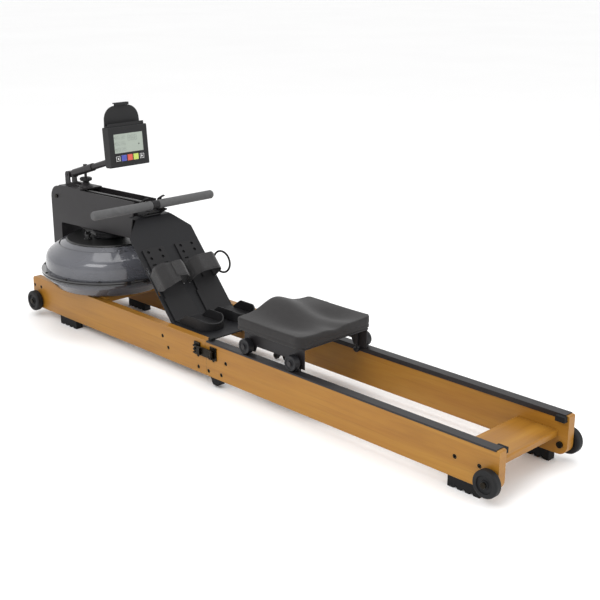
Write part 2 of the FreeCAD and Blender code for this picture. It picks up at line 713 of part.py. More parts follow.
def pull_strap():
    """The strap, whole: over both rollers, down the post, then turned on edge to the drum."""
    thick, width = DIMENSIONS["strap_thickness"], DIMENSIONS["strap_width"]
    level, start = DIMENSIONS["strap_height"], DIMENSIONS["front_x"]
    bend, low = 10, DIMENSIONS["drum_height"]
    handle = Vector(start + DIMENSIONS["handle_station"] - DIMENSIONS["grip_radius"] - 4, 0, level)
    near, far = [strap_reach(radius).value for radius in (dim.strap_roller_radius, dim.pulley_radius)]
    roller = Vector(start + DIMENSIONS["strap_roller_station"], 0, roller_height().value)
    pulley = Vector(start + DIMENSIONS["pulley_station"], 0, pulley_height().value)
    fall = DIMENSIONS["strap_fall"]

    def around(centre, reach, angle):
        return centre + Vector(reach * math.cos(math.radians(angle)), 0,
                               reach * math.sin(math.radians(angle)))

    front = around(pulley, far, 180)
    corner = Vector(front.x, 0, low + bend)
    elbow = corner + Vector(bend, 0, 0)
    after = around(elbow, bend, 270)
    turn_start = Vector(start + 42, 0, low)
    path = Part.Wire([
        Part.LineSegment(handle, around(roller, near, 90)).toShape(),
        Part.Arc(around(roller, near, 90), around(roller, near, 90 + fall / 2),
                 around(roller, near, 90 + fall)).toShape(),
        Part.LineSegment(around(roller, near, 90 + fall), around(pulley, far, 90 + fall)).toShape(),
        Part.Arc(around(pulley, far, 90 + fall), around(pulley, far, 135 + fall / 2),
                 front).toShape(),
        Part.LineSegment(front, corner).toShape(),
        Part.Arc(corner, around(elbow, bend, 225), after).toShape(),
        Part.LineSegment(after, turn_start).toShape()])
    flat = path.makePipeShell([strap_section(handle, Vector(0, width, 0), Vector(0, 0, thick))],
                              True, False)
    drum = Vector(start + DIMENSIONS["tank_station"], 0, low)
    reach = DIMENSIONS["drum_core"] + thick
    lean = math.asin(reach / (drum - turn_start).Length)
    onto = drum - Vector(reach * math.sin(lean), reach * math.cos(lean), 0)
    run = onto - turn_start
    sections = []
    for step in range(5):
        part = step / 4
        angle = math.radians(90 * part)
        ahead = Vector(math.cos(lean * part), -math.sin(lean * part), 0)
        aside = Vector(-ahead.y, ahead.x, 0)
        across = aside * math.cos(angle) + Vector(0, 0, math.sin(angle))
        sections.append(strap_section(turn_start + run * part, across * width,
                                      ahead.cross(across) * thick))
    twisted = Part.makeLoft(sections, True, True)
    made(flat.fuse(twisted), "pull_strap")


def handle_rest():
    """The stop behind the tower: a base on the footboard and two prongs in front of the handle."""
    bar, low = dim.handle_station, dim.bend_height
    face = bar - dim.grip_radius - dim.clear_gap
    seat = dim.handle_height - dim.grip_radius - dim.clear_gap
    base = box((at(dim.tower_rear + 8), at(dim.bend_station - 4)), (-36, 36), (low, low + 5))
    outline = [(face - 34, low + 4), (dim.bend_station, low + 4), (bar - 6, low + 9),
               (bar + 18, seat - 4), (bar + 18, seat), (face, seat), (face - 1, seat + 19),
               (face + 7, seat + 34), (face + 25, seat + 42), (face + 18, seat + 45),
               (face - 9, seat + 30)]
    prongs = [slab("XZ_Plane", outline, 8, (dim.front_x, dim.prong_spread * side, 0))
              for side in SIDES.values()]
    tie = box((at(face - 30), at(bar - 12)), (-dim.prong_spread, dim.prong_spread),
              (low + 9, low + 15))
    fuse(base, tie, *prongs, label="handle_rest")


def handle():
    """A steel bar with two foam grips and the webbing clamp that joins it to the strap."""
    where = (at(dim.handle_station), 0, dim.handle_height)
    half = dim.handle_half_length
    tube = cylinder(dim.grip_bore, half * 2 - 4, (where[0], 2 - half, where[2]), (0, 1, 0))
    hollow = cylinder(dim.grip_bore - 2, half * 2, (where[0], -half, where[2]), (0, 1, 0))
    cut(tube, hollow, label="handle_bar")
    start = dim.grip_start
    grips = []
    for side in SIDES.values():
        grips.append(turned([(dim.grip_bore + 0.05, start), (dim.grip_radius - 2, start),
                             (dim.grip_radius, start + 2), (dim.grip_radius, half - 5),
                             (dim.grip_radius - 3, half), (0, half), (0, half - 1.9),
                             (dim.grip_bore + 0.05, half - 1.9)], where, (0, side, 0)))
    group(*grips, label="handle_grips")
    half_band = dim.grip_start - 1
    ring = turned([(dim.grip_bore + 0.05, -half_band), (dim.grip_radius - 1, -half_band),
                   (dim.grip_radius - 1, half_band), (dim.grip_bore + 0.05, half_band)],
                  where, (0, 1, 0))
    tongue = box((where[0] - dim.grip_radius - 3, where[0] - dim.grip_bore - 1), (-11, 11),
                 (where[2] - 3, where[2] + 3))
    fuse(ring, tongue, label="handle_clamp")


# ---------------------------------------------------------------- footboard

def board_rotation():
    """Turns a part drawn flat so that its +X runs down the footboard and its +Z out of it."""
    return Rotation(Vector(0, 1, 0), DIMENSIONS["foot_angle"])


def on_board(run, across, out):
    """A place on the sloping face: distance down from the bend, across, and out of the face."""
    angle = dim.foot_angle
    return (at(dim.bend_station + run * cosine(angle) + out * sine(angle)), across,
            dim.bend_height - run * sine(angle) + out * cosine(angle))


def board_xz(run, out):
    """The same place as on_board in a side view: station and height."""
    angle = dim.foot_angle
    return (dim.bend_station + run * cosine(angle) + out * sine(angle),
            dim.bend_height - run * sine(angle) + out * cosine(angle))


def board_box(run, across, out):
    """A box drawn on the sloping face from its (low, high) pairs."""
    item = doc.addObject("Part::Box", "Box")
    for prop, (low, high) in zip(("Length", "Width", "Height"), (run, across, out)):
        bind(item, prop, size(high) - low)
    return place(item, on_board(run[0], across[0], out[0]), board_rotation())


def peg_holes(side):
    """Two columns of round peg holes, each with a slit under it, through one heel plate."""
    holes = []
    for column in (-1, 1):
        across = (dim.foot_centre + column * dim.peg_hole_across) * side
        for row in (0, 1):
            run = dim.foot_plate_top + 12 + 24 * row
            holes.append(cylinder(dim.peg_hole_radius, 20, on_board(run, across, -4),
                                  normal_direction()))
        run = dim.foot_plate_top + 60
        holes.append(board_box((run - 2, run + 2), (across - 8, across + 8), (-8, 12)))
    return holes


def footboard():
    """One bent sheet: top ledge, sloping foot rest and heel tray, with side flanges to the rails."""
    angle, thick = dim.foot_angle, dim.sheet_thickness
    run = dim.foot_run
    foot = dim.bend_station + run * cosine(angle)
    tray = dim.bend_height - run * sine(angle)
    slip = thick * 0.45
    outline = [(dim.tower_rear + 3, dim.bend_height), (dim.bend_station, dim.bend_height),
               (foot, tray), (dim.tray_end, tray), (dim.tray_end, tray - thick),
               (foot - slip, tray - thick), (dim.bend_station - slip, dim.bend_height - thick),
               (dim.tower_rear + 3, dim.bend_height - thick)]
    sheet_part = slab("XZ_Plane", outline, dim.foot_half_width * 2, (dim.front_x, 0, 0),
                      rounds=((1, 14), (2, 10), (5, 12), (6, 12)))
    trims = []
    for side in SIDES.values():
        shoulder = dim.bend_station + dim.shoulder_run * cosine(angle)
        corners = [(dim.tower_rear - 10, dim.neck_half_width), (dim.bend_station, dim.neck_half_width),
                   (shoulder, dim.foot_half_width), (shoulder, dim.foot_half_width + 20),
                   (dim.tower_rear - 10, dim.foot_half_width + 20)]
        trims.append(slab("XY_Plane", [(across, out * side) for across, out in corners], 120,
                          (dim.front_x, 0, dim.bend_height)))
        trims.append(strap_slot(side, -1, dim.strap_foot_width))
        trims.append(strap_slot(side, 1, outer_width(side)))
        trims.append(cylinder(4, 20, on_board(dim.heel_knob_run, dim.foot_centre * side, -10),
                              normal_direction()))
    flanges = [box((at(foot - 22), at(foot + 38)), outward(side, RAIL_INSIDE - 4.3, RAIL_INSIDE - 0.3),
                   (56, tray - thick)) for side in SIDES.values()]
    skirts = [box((at(foot + 4), at(dim.tray_end)),
                  outward(side, dim.foot_half_width - 2, RAIL_INSIDE - 0.3), (tray - thick, tray))
              for side in SIDES.values()]
    fuse(cut(sheet_part, *trims), *flanges, *skirts, label="footboard")


def normal_direction():
    angle = math.radians(DIMENSIONS["foot_angle"])
    return (math.sin(angle), 0, math.cos(angle))


def outer_width(side):
    """The width of a strap's outer flank: the left one carries a wide pad."""
    return dim.strap_pad_width if side < 0 else dim.strap_foot_width


def strap_slot(side, offset, width):
    """The slot in the sheet that one end of a foot strap passes through."""
    across, half = (dim.foot_centre + offset * 55) * side, width / 2 + 2
    run = dim.strap_foot_run
    return board_box((run - half, run + half), (across - 3.5, across + 3.5), (-15, 15))


def strap_band(side, width):
    """A closed webbing band round the sheet, seen along the foot as an arch with round shoulders."""
    out, half, thick = dim.strap_foot_height, 56.5, 3
    under = -(dim.sheet_thickness + 6)
    outer = [(-half, under), (half, under), (half, out - 22), (half - 22, out), (22 - half, out),
             (-half, out - 22)]
    inner = [(thick - half, under + thick), (half - thick, under + thick),
             (half - thick, out - 23), (half - 23, out - thick), (23 - half, out - thick),
             (thick - half, out - 23)]
    position = on_board(dim.strap_foot_run, dim.foot_centre * side, 0)
    band, hollow = [slab("YZ_Plane", corners, length, position, rotation=board_rotation(),
                         rounds=[(corner, radius) for corner in (2, 3, 4, 5)])
                    for corners, length, radius in ((outer, width, 16), (inner, width + 4, 13))]
    return cut(band, hollow)


def left_strap():
    """The left band, whose outer flank and half of the top widen into a pad."""
    narrow, wide = dim.strap_foot_width / 2, dim.strap_pad_width / 2
    run, edge = dim.strap_foot_run, 8 - dim.foot_centre
    trims = []
    for low, high in ((-wide - 1, -narrow), (narrow, wide + 1)):
        trims.append(board_box((run + low, run + high), (edge, 0), (-20, 90)))
        trims.append(board_box((run + low, run + high), (-140, 0), (-20, -dim.sheet_thickness - 1)))
    cut(strap_band(-1, dim.strap_pad_width), *trims, label="left_foot_strap")


def right_strap():
    """The right band, with a thin pull loop on its outer flank."""
    ring = doc.addObject("Part::Torus", "Loop")
    bind(ring, "Radius1", 27)
    bind(ring, "Radius2", 2.2)
    centre = on_board(dim.strap_foot_run, dim.foot_centre + 57.7, dim.strap_foot_height - 32)
    place(ring, centre, Rotation(Vector(1, 0, 0), 90))
    fuse(strap_band(1, dim.strap_foot_width), ring, label="right_foot_strap")


def heel_plate(name, side):
    """The sliding rest under one foot: a plate on the slope that bends into a heel cup on the tray."""
    half, thick, gap = dim.foot_plate_width / 2, dim.foot_plate_thickness, dim.clear_gap
    middle, tray = dim.foot_centre * side, dim.bend_height - dim.foot_run * sine(dim.foot_angle)
    top, wall = dim.foot_plate_top, dim.cup_wall
    slip = (1 - cosine(dim.foot_angle)) / sine(dim.foot_angle)
    rear = dim.cup_station + half
    floor = tray + gap + thick
    outline = [board_xz(top, gap), board_xz(dim.foot_run - slip * gap, gap), (rear, tray + gap),
               (rear, floor), board_xz(dim.foot_run - slip * (gap + thick), gap + thick),
               board_xz(top, gap + thick)]
    plate = slab("XZ_Plane", outline, half * 2, (dim.front_x, middle, 0), rounds=((1, 12), (4, 8)))
    rounding = cut(box((at(dim.cup_station), at(rear + 5)), (middle - half - 5, middle + half + 5),
                       (tray - 5, floor + 5)),
                   cylinder(half, thick + 10, (at(dim.cup_station), middle, tray - 5)))
    waist = [board_box((top - 2, dim.foot_plate_waist), span, (-2, thick + 4))
             for span in ((middle - half - 5, middle - half + 6), (middle + half - 6, middle + half + 5))]
    high = tray + dim.cup_height
    shells = []
    for inset, low in ((0, tray + gap), (wall, tray - 5)):
        reach = half - inset
        shells.append(fuse(box((at(dim.cup_start - inset), at(dim.cup_station)),
                               (middle - reach, middle + reach), (low, high + inset)),
                           cylinder(reach, high + inset - low, (at(dim.cup_station), middle, low))))
    crown = slab("XZ_Plane", [(dim.cup_start - 5, tray + 8), (dim.cup_start + 34, high),
                              (dim.cup_station + 12, high), (rear + 5, high - 16),
                              (rear + 5, high + 10), (dim.cup_start - 5, high + 10)],
                 half * 2 + 10, (dim.front_x, middle, 0))
    cup = cut(shells[0], shells[1], crown)
    first, last = dim.heel_knob_run, dim.heel_knob_run + dim.foot_travel
    slot = [board_box((first, last), (middle - 4.5, middle + 4.5), (-6, 14))]
    slot += [cylinder(4.5, 20, on_board(run, middle, -6), normal_direction()) for run in (first, last)]
    cut(fuse(cut(plate, rounding, *waist), cup), *slot, *peg_holes(side), label=f"{name}_heel_plate")


def heel_knob(side):
    """The low knob and stud that clamp a heel rest to the sheet, under the strap."""
    run, middle = dim.heel_knob_run, dim.foot_centre * side
    stud = cylinder(3.9, dim.sheet_thickness + 10, on_board(run, middle, -(dim.sheet_thickness + 2)),
                    normal_direction())
    head = cylinder(8, 6, on_board(run, middle, 6), normal_direction())
    return fuse(stud, head)


# ---------------------------------------------------------------- console and arm

def arm_point(distance, drop=0):
    """A place along the arm's axis from its elbow; drop moves it square to the arm."""
    angle = dim.arm_angle
    return (at(dim.elbow_station + distance * cosine(angle) + drop * sine(angle)), 0,
            dim.elbow_height + distance * sine(angle) - drop * cosine(angle))


def arm_direction():
    angle = math.radians(DIMENSIONS["arm_angle"])
    return (math.cos(angle), 0, math.sin(angle))


def bridge_top(station):
    """The upper face of the plate that carries the arm, on the tower's sloping edges."""
    return tower_top(station) + 4


def arm_bracket():
    """The bridge on the tower's top edges, with two ears for the arm's elbow and the stay's cone."""
    elbow, stay = dim.elbow_station, dim.stay_station
    first, last = elbow - 13, stay + 30
    bridge = slab("XZ_Plane", [(first, tower_top(first)), (last, tower_top(last)),
                               (last, bridge_top(last)), (first, bridge_top(first))],
                  dim.tower_half_width * 2, (dim.front_x, 0, 0))
    ears = []
    for side in SIDES.values():
        middle = 14 * side
        toe = elbow + 70
        ear = slab("XZ_Plane", [(first, bridge_top(first) - 2), (toe, bridge_top(toe) - 2),
                                (toe, bridge_top(toe) + 3), (elbow + 16, bridge_top(elbow) + 10),
                                (elbow + 13, dim.elbow_height), (first, dim.elbow_height)],
                   5, (dim.front_x, middle, 0))
        cap = cylinder(13, 5, (at(elbow), middle - 2.5, dim.elbow_height), (0, 1, 0))
        bore = cylinder(4 + dim.fit_gap, 9, (at(elbow), middle - 4.5, dim.elbow_height), (0, 1, 0))
        ears.append(cut(fuse(ear, cap), bore))
    base = bridge_top(stay)
    cone = turned([(0, base - 3), (26, base - 3), (24, base + 4), (13, base + 13), (13, base + 15),
                   (0, base + 15)], (at(stay), 0, 0))
    fuse(bridge, *ears, cone, label="arm_bracket")


STAY_RADIUS = 5


def console_arm():
    """The arm tube with its elbow knuckle, outer sleeve, console knuckle and stay bolt."""
    tube = cylinder(dim.arm_radius, dim.arm_length - 20, arm_point(10), arm_direction())
    sleeve = cylinder(dim.sleeve_radius, dim.sleeve_length - 18, arm_point(26), arm_direction())
    neck = box((at(dim.elbow_station - 6), at(dim.elbow_station + 32)), (-10.8, 10.8),
               (dim.elbow_height - 6, dim.elbow_height + 12))
    knuckles = []
    for distance, half, radius in ((0, 10.8, 12), (dim.arm_length, 14.5, 11)):
        x, _, z = arm_point(distance)
        knuckles.append(cylinder(radius, half * 2, (x, -half, z), (0, 1, 0)))
        knuckles.append(cylinder(4, half * 2 + 14, (x, -(half + 7), z), (0, 1, 0)))
    station = dim.stay_station
    rise = (station - dim.elbow_station) * sine(dim.arm_angle) / cosine(dim.arm_angle)
    stay = cylinder(STAY_RADIUS, 62, (at(station), 0, bridge_top(station) + 15 + dim.clear_gap))
    nut = cylinder(7.5, 7, (at(station), 0, dim.elbow_height + rise + 12))
    fuse(tube, sleeve, neck, *knuckles, stay, nut, label="arm_tube")


def arm_knob():
    """The scalloped hand knob under the arm."""
    low = bridge_top(dim.stay_station) + 16.3
    bore = STAY_RADIUS + dim.fit_gap
    body = turned([(bore, low), (11, low), (12, low + 5), (20, low + 7), (22, low + 9),
                   (22, low + 16), (19, low + 18), (bore, low + 18)], (at(dim.stay_station), 0, 0))
    notches = []
    for number in range(8):
        angle = math.radians(22.5 + 45 * number)
        notches.append(cylinder(4, 30, (at(dim.stay_station + 24 * math.cos(angle)),
                                        24 * math.sin(angle), low)))
    cut(body, *notches, label="arm_knob")


def screen_rotation():
    return Rotation(Vector(0, 1, 0), -DIMENSIONS["screen_tilt"])


def screen_point(out, across, up):
    """A place in the console's own tilted frame, from its pivot at the arm's end."""
    pivot = arm_point(dim.arm_length)
    tilt = dim.screen_tilt
    return (pivot[0] + out * cosine(tilt) - up * sine(tilt), across,
            pivot[2] + out * sine(tilt) + up * cosine(tilt))


def screen_box(out, across, up):
    """A box drawn in the console's tilted frame from its (low, high) pairs."""
    item = doc.addObject("Part::Box", "Box")
    for prop, (low, high) in zip(("Length", "Width", "Height"), (out, across, up)):
        bind(item, prop, size(high) - low)
    return place(item, screen_point(out[0], across[0], up[0]), screen_rotation())


FACE = 50
CASE_LOW = -24
LCD_MIDDLE = 55.5
KEYS_MIDDLE = 5.5
BUTTONS = ("left_arrow_button", "blue_button", "red_button", "green_button", "right_arrow_button")


def console_case():
    """The monitor's hollow case, with ears that hold its pivot."""
    half, wall, depth = dim.case_width / 2, dim.case_wall, dim.case_depth
    low, high, back = CASE_LOW, CASE_LOW + dim.case_height, FACE - depth
    outline = [(back, low), (FACE, low), (FACE, high), (back, high)]
    blank = slab("XZ_Plane", outline, half * 2, arm_point(dim.arm_length),
                 rounds=((0, 9), (1, 4), (2, 4), (3, 6)), rotation=screen_rotation())
    inner = [(back + wall, low + wall + 3), (back + wall + 6, low + wall), (FACE - wall, low + wall),
             (FACE - wall, high - wall), (back + wall, high - wall)]
    hollow = slab("XZ_Plane", inner, (half - wall) * 2, arm_point(dim.arm_length),
                  rotation=screen_rotation())
    lcd = screen_box((FACE - wall - 1, FACE + 1), (-dim.lcd_width / 2, dim.lcd_width / 2),
                     (LCD_MIDDLE - dim.lcd_height / 2, LCD_MIDDLE + dim.lcd_height / 2))
    keys = [screen_box((FACE - wall - 1, FACE + 1), key_span(number, 0.4),
                       (KEYS_MIDDLE - dim.button_size / 2 - 0.4, KEYS_MIDDLE + dim.button_size / 2 + 0.4))
            for number in range(len(BUTTONS))]
    ears = []
    for side in SIDES.values():
        ear = slab("XZ_Plane", [(-9, -9), (9, -9), (back + 1, 6), (back + 1, 34), (-9, 9)], 5,
                   (arm_point(dim.arm_length)[0], 18 * side, arm_point(dim.arm_length)[2]),
                   rounds=((0, 8), (4, 8)), rotation=screen_rotation())
        bore = cylinder(4.05, 12, (arm_point(dim.arm_length)[0], 18 * side - 6, arm_point(dim.arm_length)[2]),
                        (0, 1, 0))
        ears.append(cut(ear, bore))
    fuse(cut(blank, hollow, lcd, *keys), *ears, label="console_case")


def key_span(number, gap):
    middle = dim.button_pitch * (number - 2)
    half = dim.button_size / 2 + gap
    return middle - half, middle + half


def lcd_window():
    """The display glass, flush in the face, on a backing pad inside the case."""
    half, tall, wall = dim.lcd_width / 2, dim.lcd_height / 2, dim.case_wall
    glass = screen_box((FACE - wall, FACE - 0.4), (0.1 - half, half - 0.1),
                       (LCD_MIDDLE - tall + 0.1, LCD_MIDDLE + tall - 0.1))
    flange = screen_box((FACE - wall - 3, FACE - wall), (-half - 3, half + 3),
                        (LCD_MIDDLE - tall - 3, LCD_MIDDLE + tall + 3))
    fuse(glass, flange, label="lcd_window")


def button(number, label):
    """One key: a cap in its hole and a wider skirt behind the face."""
    half, wall = dim.button_size / 2, dim.case_wall
    cap = screen_box((FACE - wall - 3, FACE + 1.6), key_span(number, 0),
                     (KEYS_MIDDLE - half, KEYS_MIDDLE + half))
    skirt = screen_box((FACE - wall - 4, FACE - wall - 0.2), key_span(number, 1.2),
                       (KEYS_MIDDLE - half - 1.2, KEYS_MIDDLE + half + 1.2))
    fuse(cap, skirt, label=label)


def phone_holder():
    """The arched back plate above the case and the ledge that a phone stands on."""
    high = CASE_LOW + dim.case_height
    back = FACE - dim.case_depth
    outline = [(-72, high), (72, high), (67, high + 68), (-67, high + 68)]
    plate = slab("YZ_Plane", outline, 4, screen_point(back + 4, 0, 0), rounds=((2, 46), (3, 46)),
                 rotation=screen_rotation())
    ledge = screen_box((back + 2, FACE - 6), (-72, 72), (high, high + 4))
    lip = screen_box((FACE - 10, FACE - 6), (-72, 72), (high + 3, high + 11))
    fuse(plate, ledge, lip, label="phone_holder")


def phone_clip():
    """The sprung tab that grips a phone's top edge, sliding on the back plate's rear face."""
    top = CASE_LOW + dim.case_height + 68
    back = FACE - dim.case_depth + 2
    tongue = screen_box((back - 3.3, back - 0.3), (-22, 22), (top - 44, top + 9))
    hook = screen_box((back - 3.3, back + 14), (-27, 27), (top + 6, top + 10))
    tip = screen_box((back + 11, back + 14), (-27, 27), (top + 1, top + 7))
    fuse(tongue, hook, tip, label="phone_clip")


# ---------------------------------------------------------------- seat

GUIDE_LINE = RAIL_INSIDE - dim.track_plate - dim.guide_gap - dim.guide_radius

def seat_height(along, across):
    """The pad's top over its underside: flat rim, two bowls, a pommel in front, a rear notch."""
    length, half = DIMENSIONS["seat_length"], DIMENSIONS["seat_half_width"]
    rim = DIMENSIONS["seat_edge"] - DIMENSIONS["seat_bottom"]
    forward, sideways = along / length, across / half
    pommel = 31 * math.exp(-(sideways / 0.42) ** 2) * math.exp(-((forward - 0.08) / 0.38) ** 2)
    bowls = 17 * math.exp(-((abs(sideways) - 0.5) / 0.3) ** 2) * math.exp(-((forward - 0.62) / 0.3) ** 2)
    notch = 9 * math.exp(-(sideways / 0.2) ** 2) * math.exp(-((forward - 1) / 0.3) ** 2)
    return rim + pommel - bowls - notch


def seat_pad():
    """A moulded pad lofted through cross sections along the machine."""
    length, half = DIMENSIONS["seat_length"], DIMENSIONS["seat_half_width"]
    low = DIMENSIONS["seat_bottom"]
    start = DIMENSIONS["front_x"] + DIMENSIONS["seat_front"]
    sections = []
    for part in (0, 0.12, 0.3, 0.5, 0.7, 0.88, 1):
        along = part * length
        x = start + along
        top = [Vector(x, across * half, low + seat_height(along, across * half))
               for across in (-1, -0.75, -0.5, -0.25, 0, 0.25, 0.5, 0.75, 1)]
        curve = Part.BSplineCurve()
        curve.interpolate(top)
        left, right = Vector(x, -half, low), Vector(x, half, low)
        sections.append(Part.Wire([curve.toShape(), Part.LineSegment(top[-1], right).toShape(),
                                   Part.LineSegment(right, left).toShape(),
                                   Part.LineSegment(left, top[0]).toShape()]))
    pad = Part.makeLoft(sections, True)
    for x, radius in ((start, 12), (start + length, 24)):
        corners = [edge for edge in pad.Edges
                   if all(abs(abs(vertex.Y) - half) < 0.1 and abs(vertex.X - x) < 0.1
                          for vertex in edge.Vertexes)
                   and abs(edge.Vertexes[0].Z - edge.Vertexes[1].Z) > 10]
        pad = pad.makeFillet(radius, corners)
    made(pad, "seat_pad")


def seat_frame():
    """The steel carriage: top plate, two cheeks, roller stubs and guide roller posts."""
    low, front, rear = dim.seat_bottom - 4, dim.seat_front + 14, 1400
    cheek = 129
    plate = box((at(front), at(rear)), (-136, 136), (low, dim.seat_bottom))
    items = [plate]
    for side in SIDES.values():
        outline = [(front, low + 2), (rear, low + 2), (rear, 149), (rear - 52, 149), (rear - 62, 168),
                   (front + 54, 168), (front + 46, 149), (front + 4, 149), (front, 156)]
        items.append(slab("XZ_Plane", outline, 3, (dim.front_x, (cheek + 1.5) * side, 0)))
        guide = GUIDE_LINE
        items.append(cylinder(3.5, 76, (at(dim.guide_roller), guide * side, 134)))
        items.append(cylinder(6.5, 3, (at(dim.guide_roller), guide * side, 131.5)))
    rollers_axis = RAIL_TOP + dim.track_plate + dim.clear_gap + dim.roller_radius
    for station in (dim.front_roller, dim.rear_roller):
        for side in SIDES.values():
            items.append(cylinder(5, 36, (at(station), cheek * side, rollers_axis), (0, side, 0)))
            items.append(cylinder(8, 9, (at(station), (cheek + 1) * side, rollers_axis), (0, side, 0)))
            items.append(cylinder(8, 2.5, (at(station), (cheek + 33.5) * side, rollers_axis), (0, side, 0)))
    fuse(*items, label="seat_frame")


def seat_rollers(station, label):
    """The left and right rollers of one axle line."""
    height = RAIL_TOP + dim.track_plate + dim.clear_gap + dim.roller_radius
    half, radius, bore = dim.roller_width / 2, dim.roller_radius, 5 + dim.fit_gap
    rollers = []
    for side in SIDES.values():
        rollers.append(turned([(bore, -half), (radius * 0.45, -half), (radius * 0.5, 2 - half),
                               (radius * 0.72, 2 - half), (radius * 0.76, -half), (radius, -half),
                               (radius, half), (radius * 0.76, half), (radius * 0.72, half - 2),
                               (radius * 0.5, half - 2), (radius * 0.45, half), (bore, half)],
                              (at(station), RAIL_MIDDLE * side, height), (0, side, 0),
                              rounds=((5, 2.5), (6, 2.5))))
    group(*rollers, label=label)


def guide_roller(name, side):
    guide, radius = GUIDE_LINE, dim.guide_radius
    turned([(3.55, 134.8), (radius - 1, 134.8), (radius, 136), (radius, 143), (radius - 1, 144.2),
            (3.55, 144.2)], (at(dim.guide_roller), guide * side, 0), label=f"{name}_guide_roller")


# ---------------------------------------------------------------- assembly

def tank_screws():
    """Twelve screws through the tank's flange."""
    screws = []
    radius = (DIMENSIONS["flange_radius"] + DIMENSIONS["tank_radius"]) / 2 + 1.5
    top = dim.flange_height + dim.seal_thickness + dim.flange_thickness
    for number in range(12):
        angle = math.radians(15 + 30 * number)
        where = (at(dim.tank_station) + radius * math.cos(angle), radius * math.sin(angle), top)
        screws.append(cylinder(4, 2.5, where))
    return screws


def fasteners():
    front, rear = [], []
    for side in SIDES.values():
        front += [rail_bolt(side, *bolt) for bolt in FRONT_BOLTS]
        rear += [rail_bolt(side, *bolt) for bolt in REAR_BOLTS]
        front.append(axle_bolt(side, dim.front_axle))
        rear.append(axle_bolt(side, dim.rear_axle))
        front.append(heel_knob(side))
        front.append(cylinder(7, 5, (at(dim.tower_front), 33 * side, 352), (-1, 0, 0)))
    front.append(tower_axle(dim.pulley_station, pulley_height()))
    front.append(tower_axle(dim.strap_roller_station, roller_height()))
    group(*front, *pivot_pins(), *tank_screws(), label="front_bolts")
    group(*rear, label="rear_bolts")


def assemble():
    for name, side in SIDES.items():
        front_rail(name, side)
        rear_rail(name, side)
        wheel("front", name, side, dim.front_axle)
        wheel("rear", name, side, dim.rear_axle)
        latch_bar(name, side)
        heel_plate(name, side)
        guide_roller(name, side)
    left_strap()
    right_strap()
    boards()
    feet()
    group(*[track(side) for side in SIDES.values()], label="seat_tracks")
    bumpers = [front_bumper(side) for side in SIDES.values()]
    group(*[end_stop(side) for side in SIDES.values()], *bumpers, label="end_stops")
    fold_parts()
    fasteners()
    tank()
    tank_plug()
    rotor()
    tower()
    strap_wheel(dim.pulley_radius, dim.pulley_width, dim.pulley_station, pulley_height(), "front_pulley")
    strap_wheel(dim.strap_roller_radius, dim.pulley_width, dim.strap_roller_station, roller_height(),
                "rear_strap_roller")
    pull_strap()
    handle_rest()
    handle()
    footboard()
    arm_bracket()
    console_arm()
    arm_knob()
    console_case()
    lcd_window()
    for number, label in enumerate(BUTTONS):
        button(number, label)
    phone_holder()
    phone_clip()
    seat_pad()
    seat_frame()
    seat_rollers(dim.front_roller, "front_rollers")
    seat_rollers(dim.rear_roller, "rear_rollers")


def check():
    """Stops before anything is written if a feature failed or a sub-part isn't one sound shape."""
    for item in doc.Objects:
        if "Invalid" in item.State or "Error" in item.State:
            raise RuntimeError(f"{item.Label} failed: {item.State}")
    for item in SUBPARTS:
        if item.Shape.isNull() or not item.Shape.isValid() or not item.Shape.Solids:
            raise RuntimeError(f"{item.Label} has no sound shape")


assemble()
doc.recompute()
check()
os.makedirs("parts", exist_ok=True)
for subpart in SUBPARTS:
    subpart.Shape.exportStep(f"parts/{subpart.Label}.step")
print(len(SUBPARTS), "sub-parts written")
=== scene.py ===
import json
import math

import bmesh
import bpy
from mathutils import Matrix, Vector
from mathutils.bvhtree import BVHTree


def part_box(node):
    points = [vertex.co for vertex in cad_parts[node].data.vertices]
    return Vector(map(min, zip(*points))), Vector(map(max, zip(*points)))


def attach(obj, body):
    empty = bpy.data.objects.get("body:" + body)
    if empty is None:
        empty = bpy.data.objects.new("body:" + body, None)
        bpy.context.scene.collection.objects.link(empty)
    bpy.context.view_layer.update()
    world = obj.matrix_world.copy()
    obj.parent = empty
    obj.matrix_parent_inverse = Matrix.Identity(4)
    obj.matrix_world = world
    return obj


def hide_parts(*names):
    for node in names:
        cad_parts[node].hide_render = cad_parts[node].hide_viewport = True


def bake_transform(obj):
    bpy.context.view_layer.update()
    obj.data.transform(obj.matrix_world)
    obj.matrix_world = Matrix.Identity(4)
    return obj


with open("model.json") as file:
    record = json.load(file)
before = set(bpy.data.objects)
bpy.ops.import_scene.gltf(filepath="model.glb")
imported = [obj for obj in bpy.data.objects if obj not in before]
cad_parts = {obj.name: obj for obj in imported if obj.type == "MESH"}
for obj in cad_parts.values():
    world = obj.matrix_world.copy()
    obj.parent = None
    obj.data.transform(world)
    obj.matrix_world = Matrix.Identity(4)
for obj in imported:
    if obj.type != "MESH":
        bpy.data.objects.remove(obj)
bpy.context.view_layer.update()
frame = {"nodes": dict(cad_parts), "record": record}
NODES = frame["nodes"]
MM = 0.001
MIDDLE_STATION = 1041.5  # the station along the rails, in millimetres, where the frame's X is 0
DARK_SHARE = 0.26


# ------------------------------------------------------------------ small helpers

def middle(node):
    low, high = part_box(node)
    return (low + high) / 2


def rgb(red, green, blue):
    """A colour given as it looks on a screen, 0 to 255, in the renderer's own linear numbers."""
    def linear(value):
        value /= 255
        return value / 12.92 if value <= 0.04045 else ((value + 0.055) / 1.055) ** 2.4
    return linear(red), linear(green), linear(blue), 1.0


def dark(red, green, blue):
    """A dark finish's colour: the bright studio lifts it, so it starts well below what is seen."""
    return tuple(value * DARK_SHARE for value in rgb(red, green, blue)[:3]) + (1.0,)


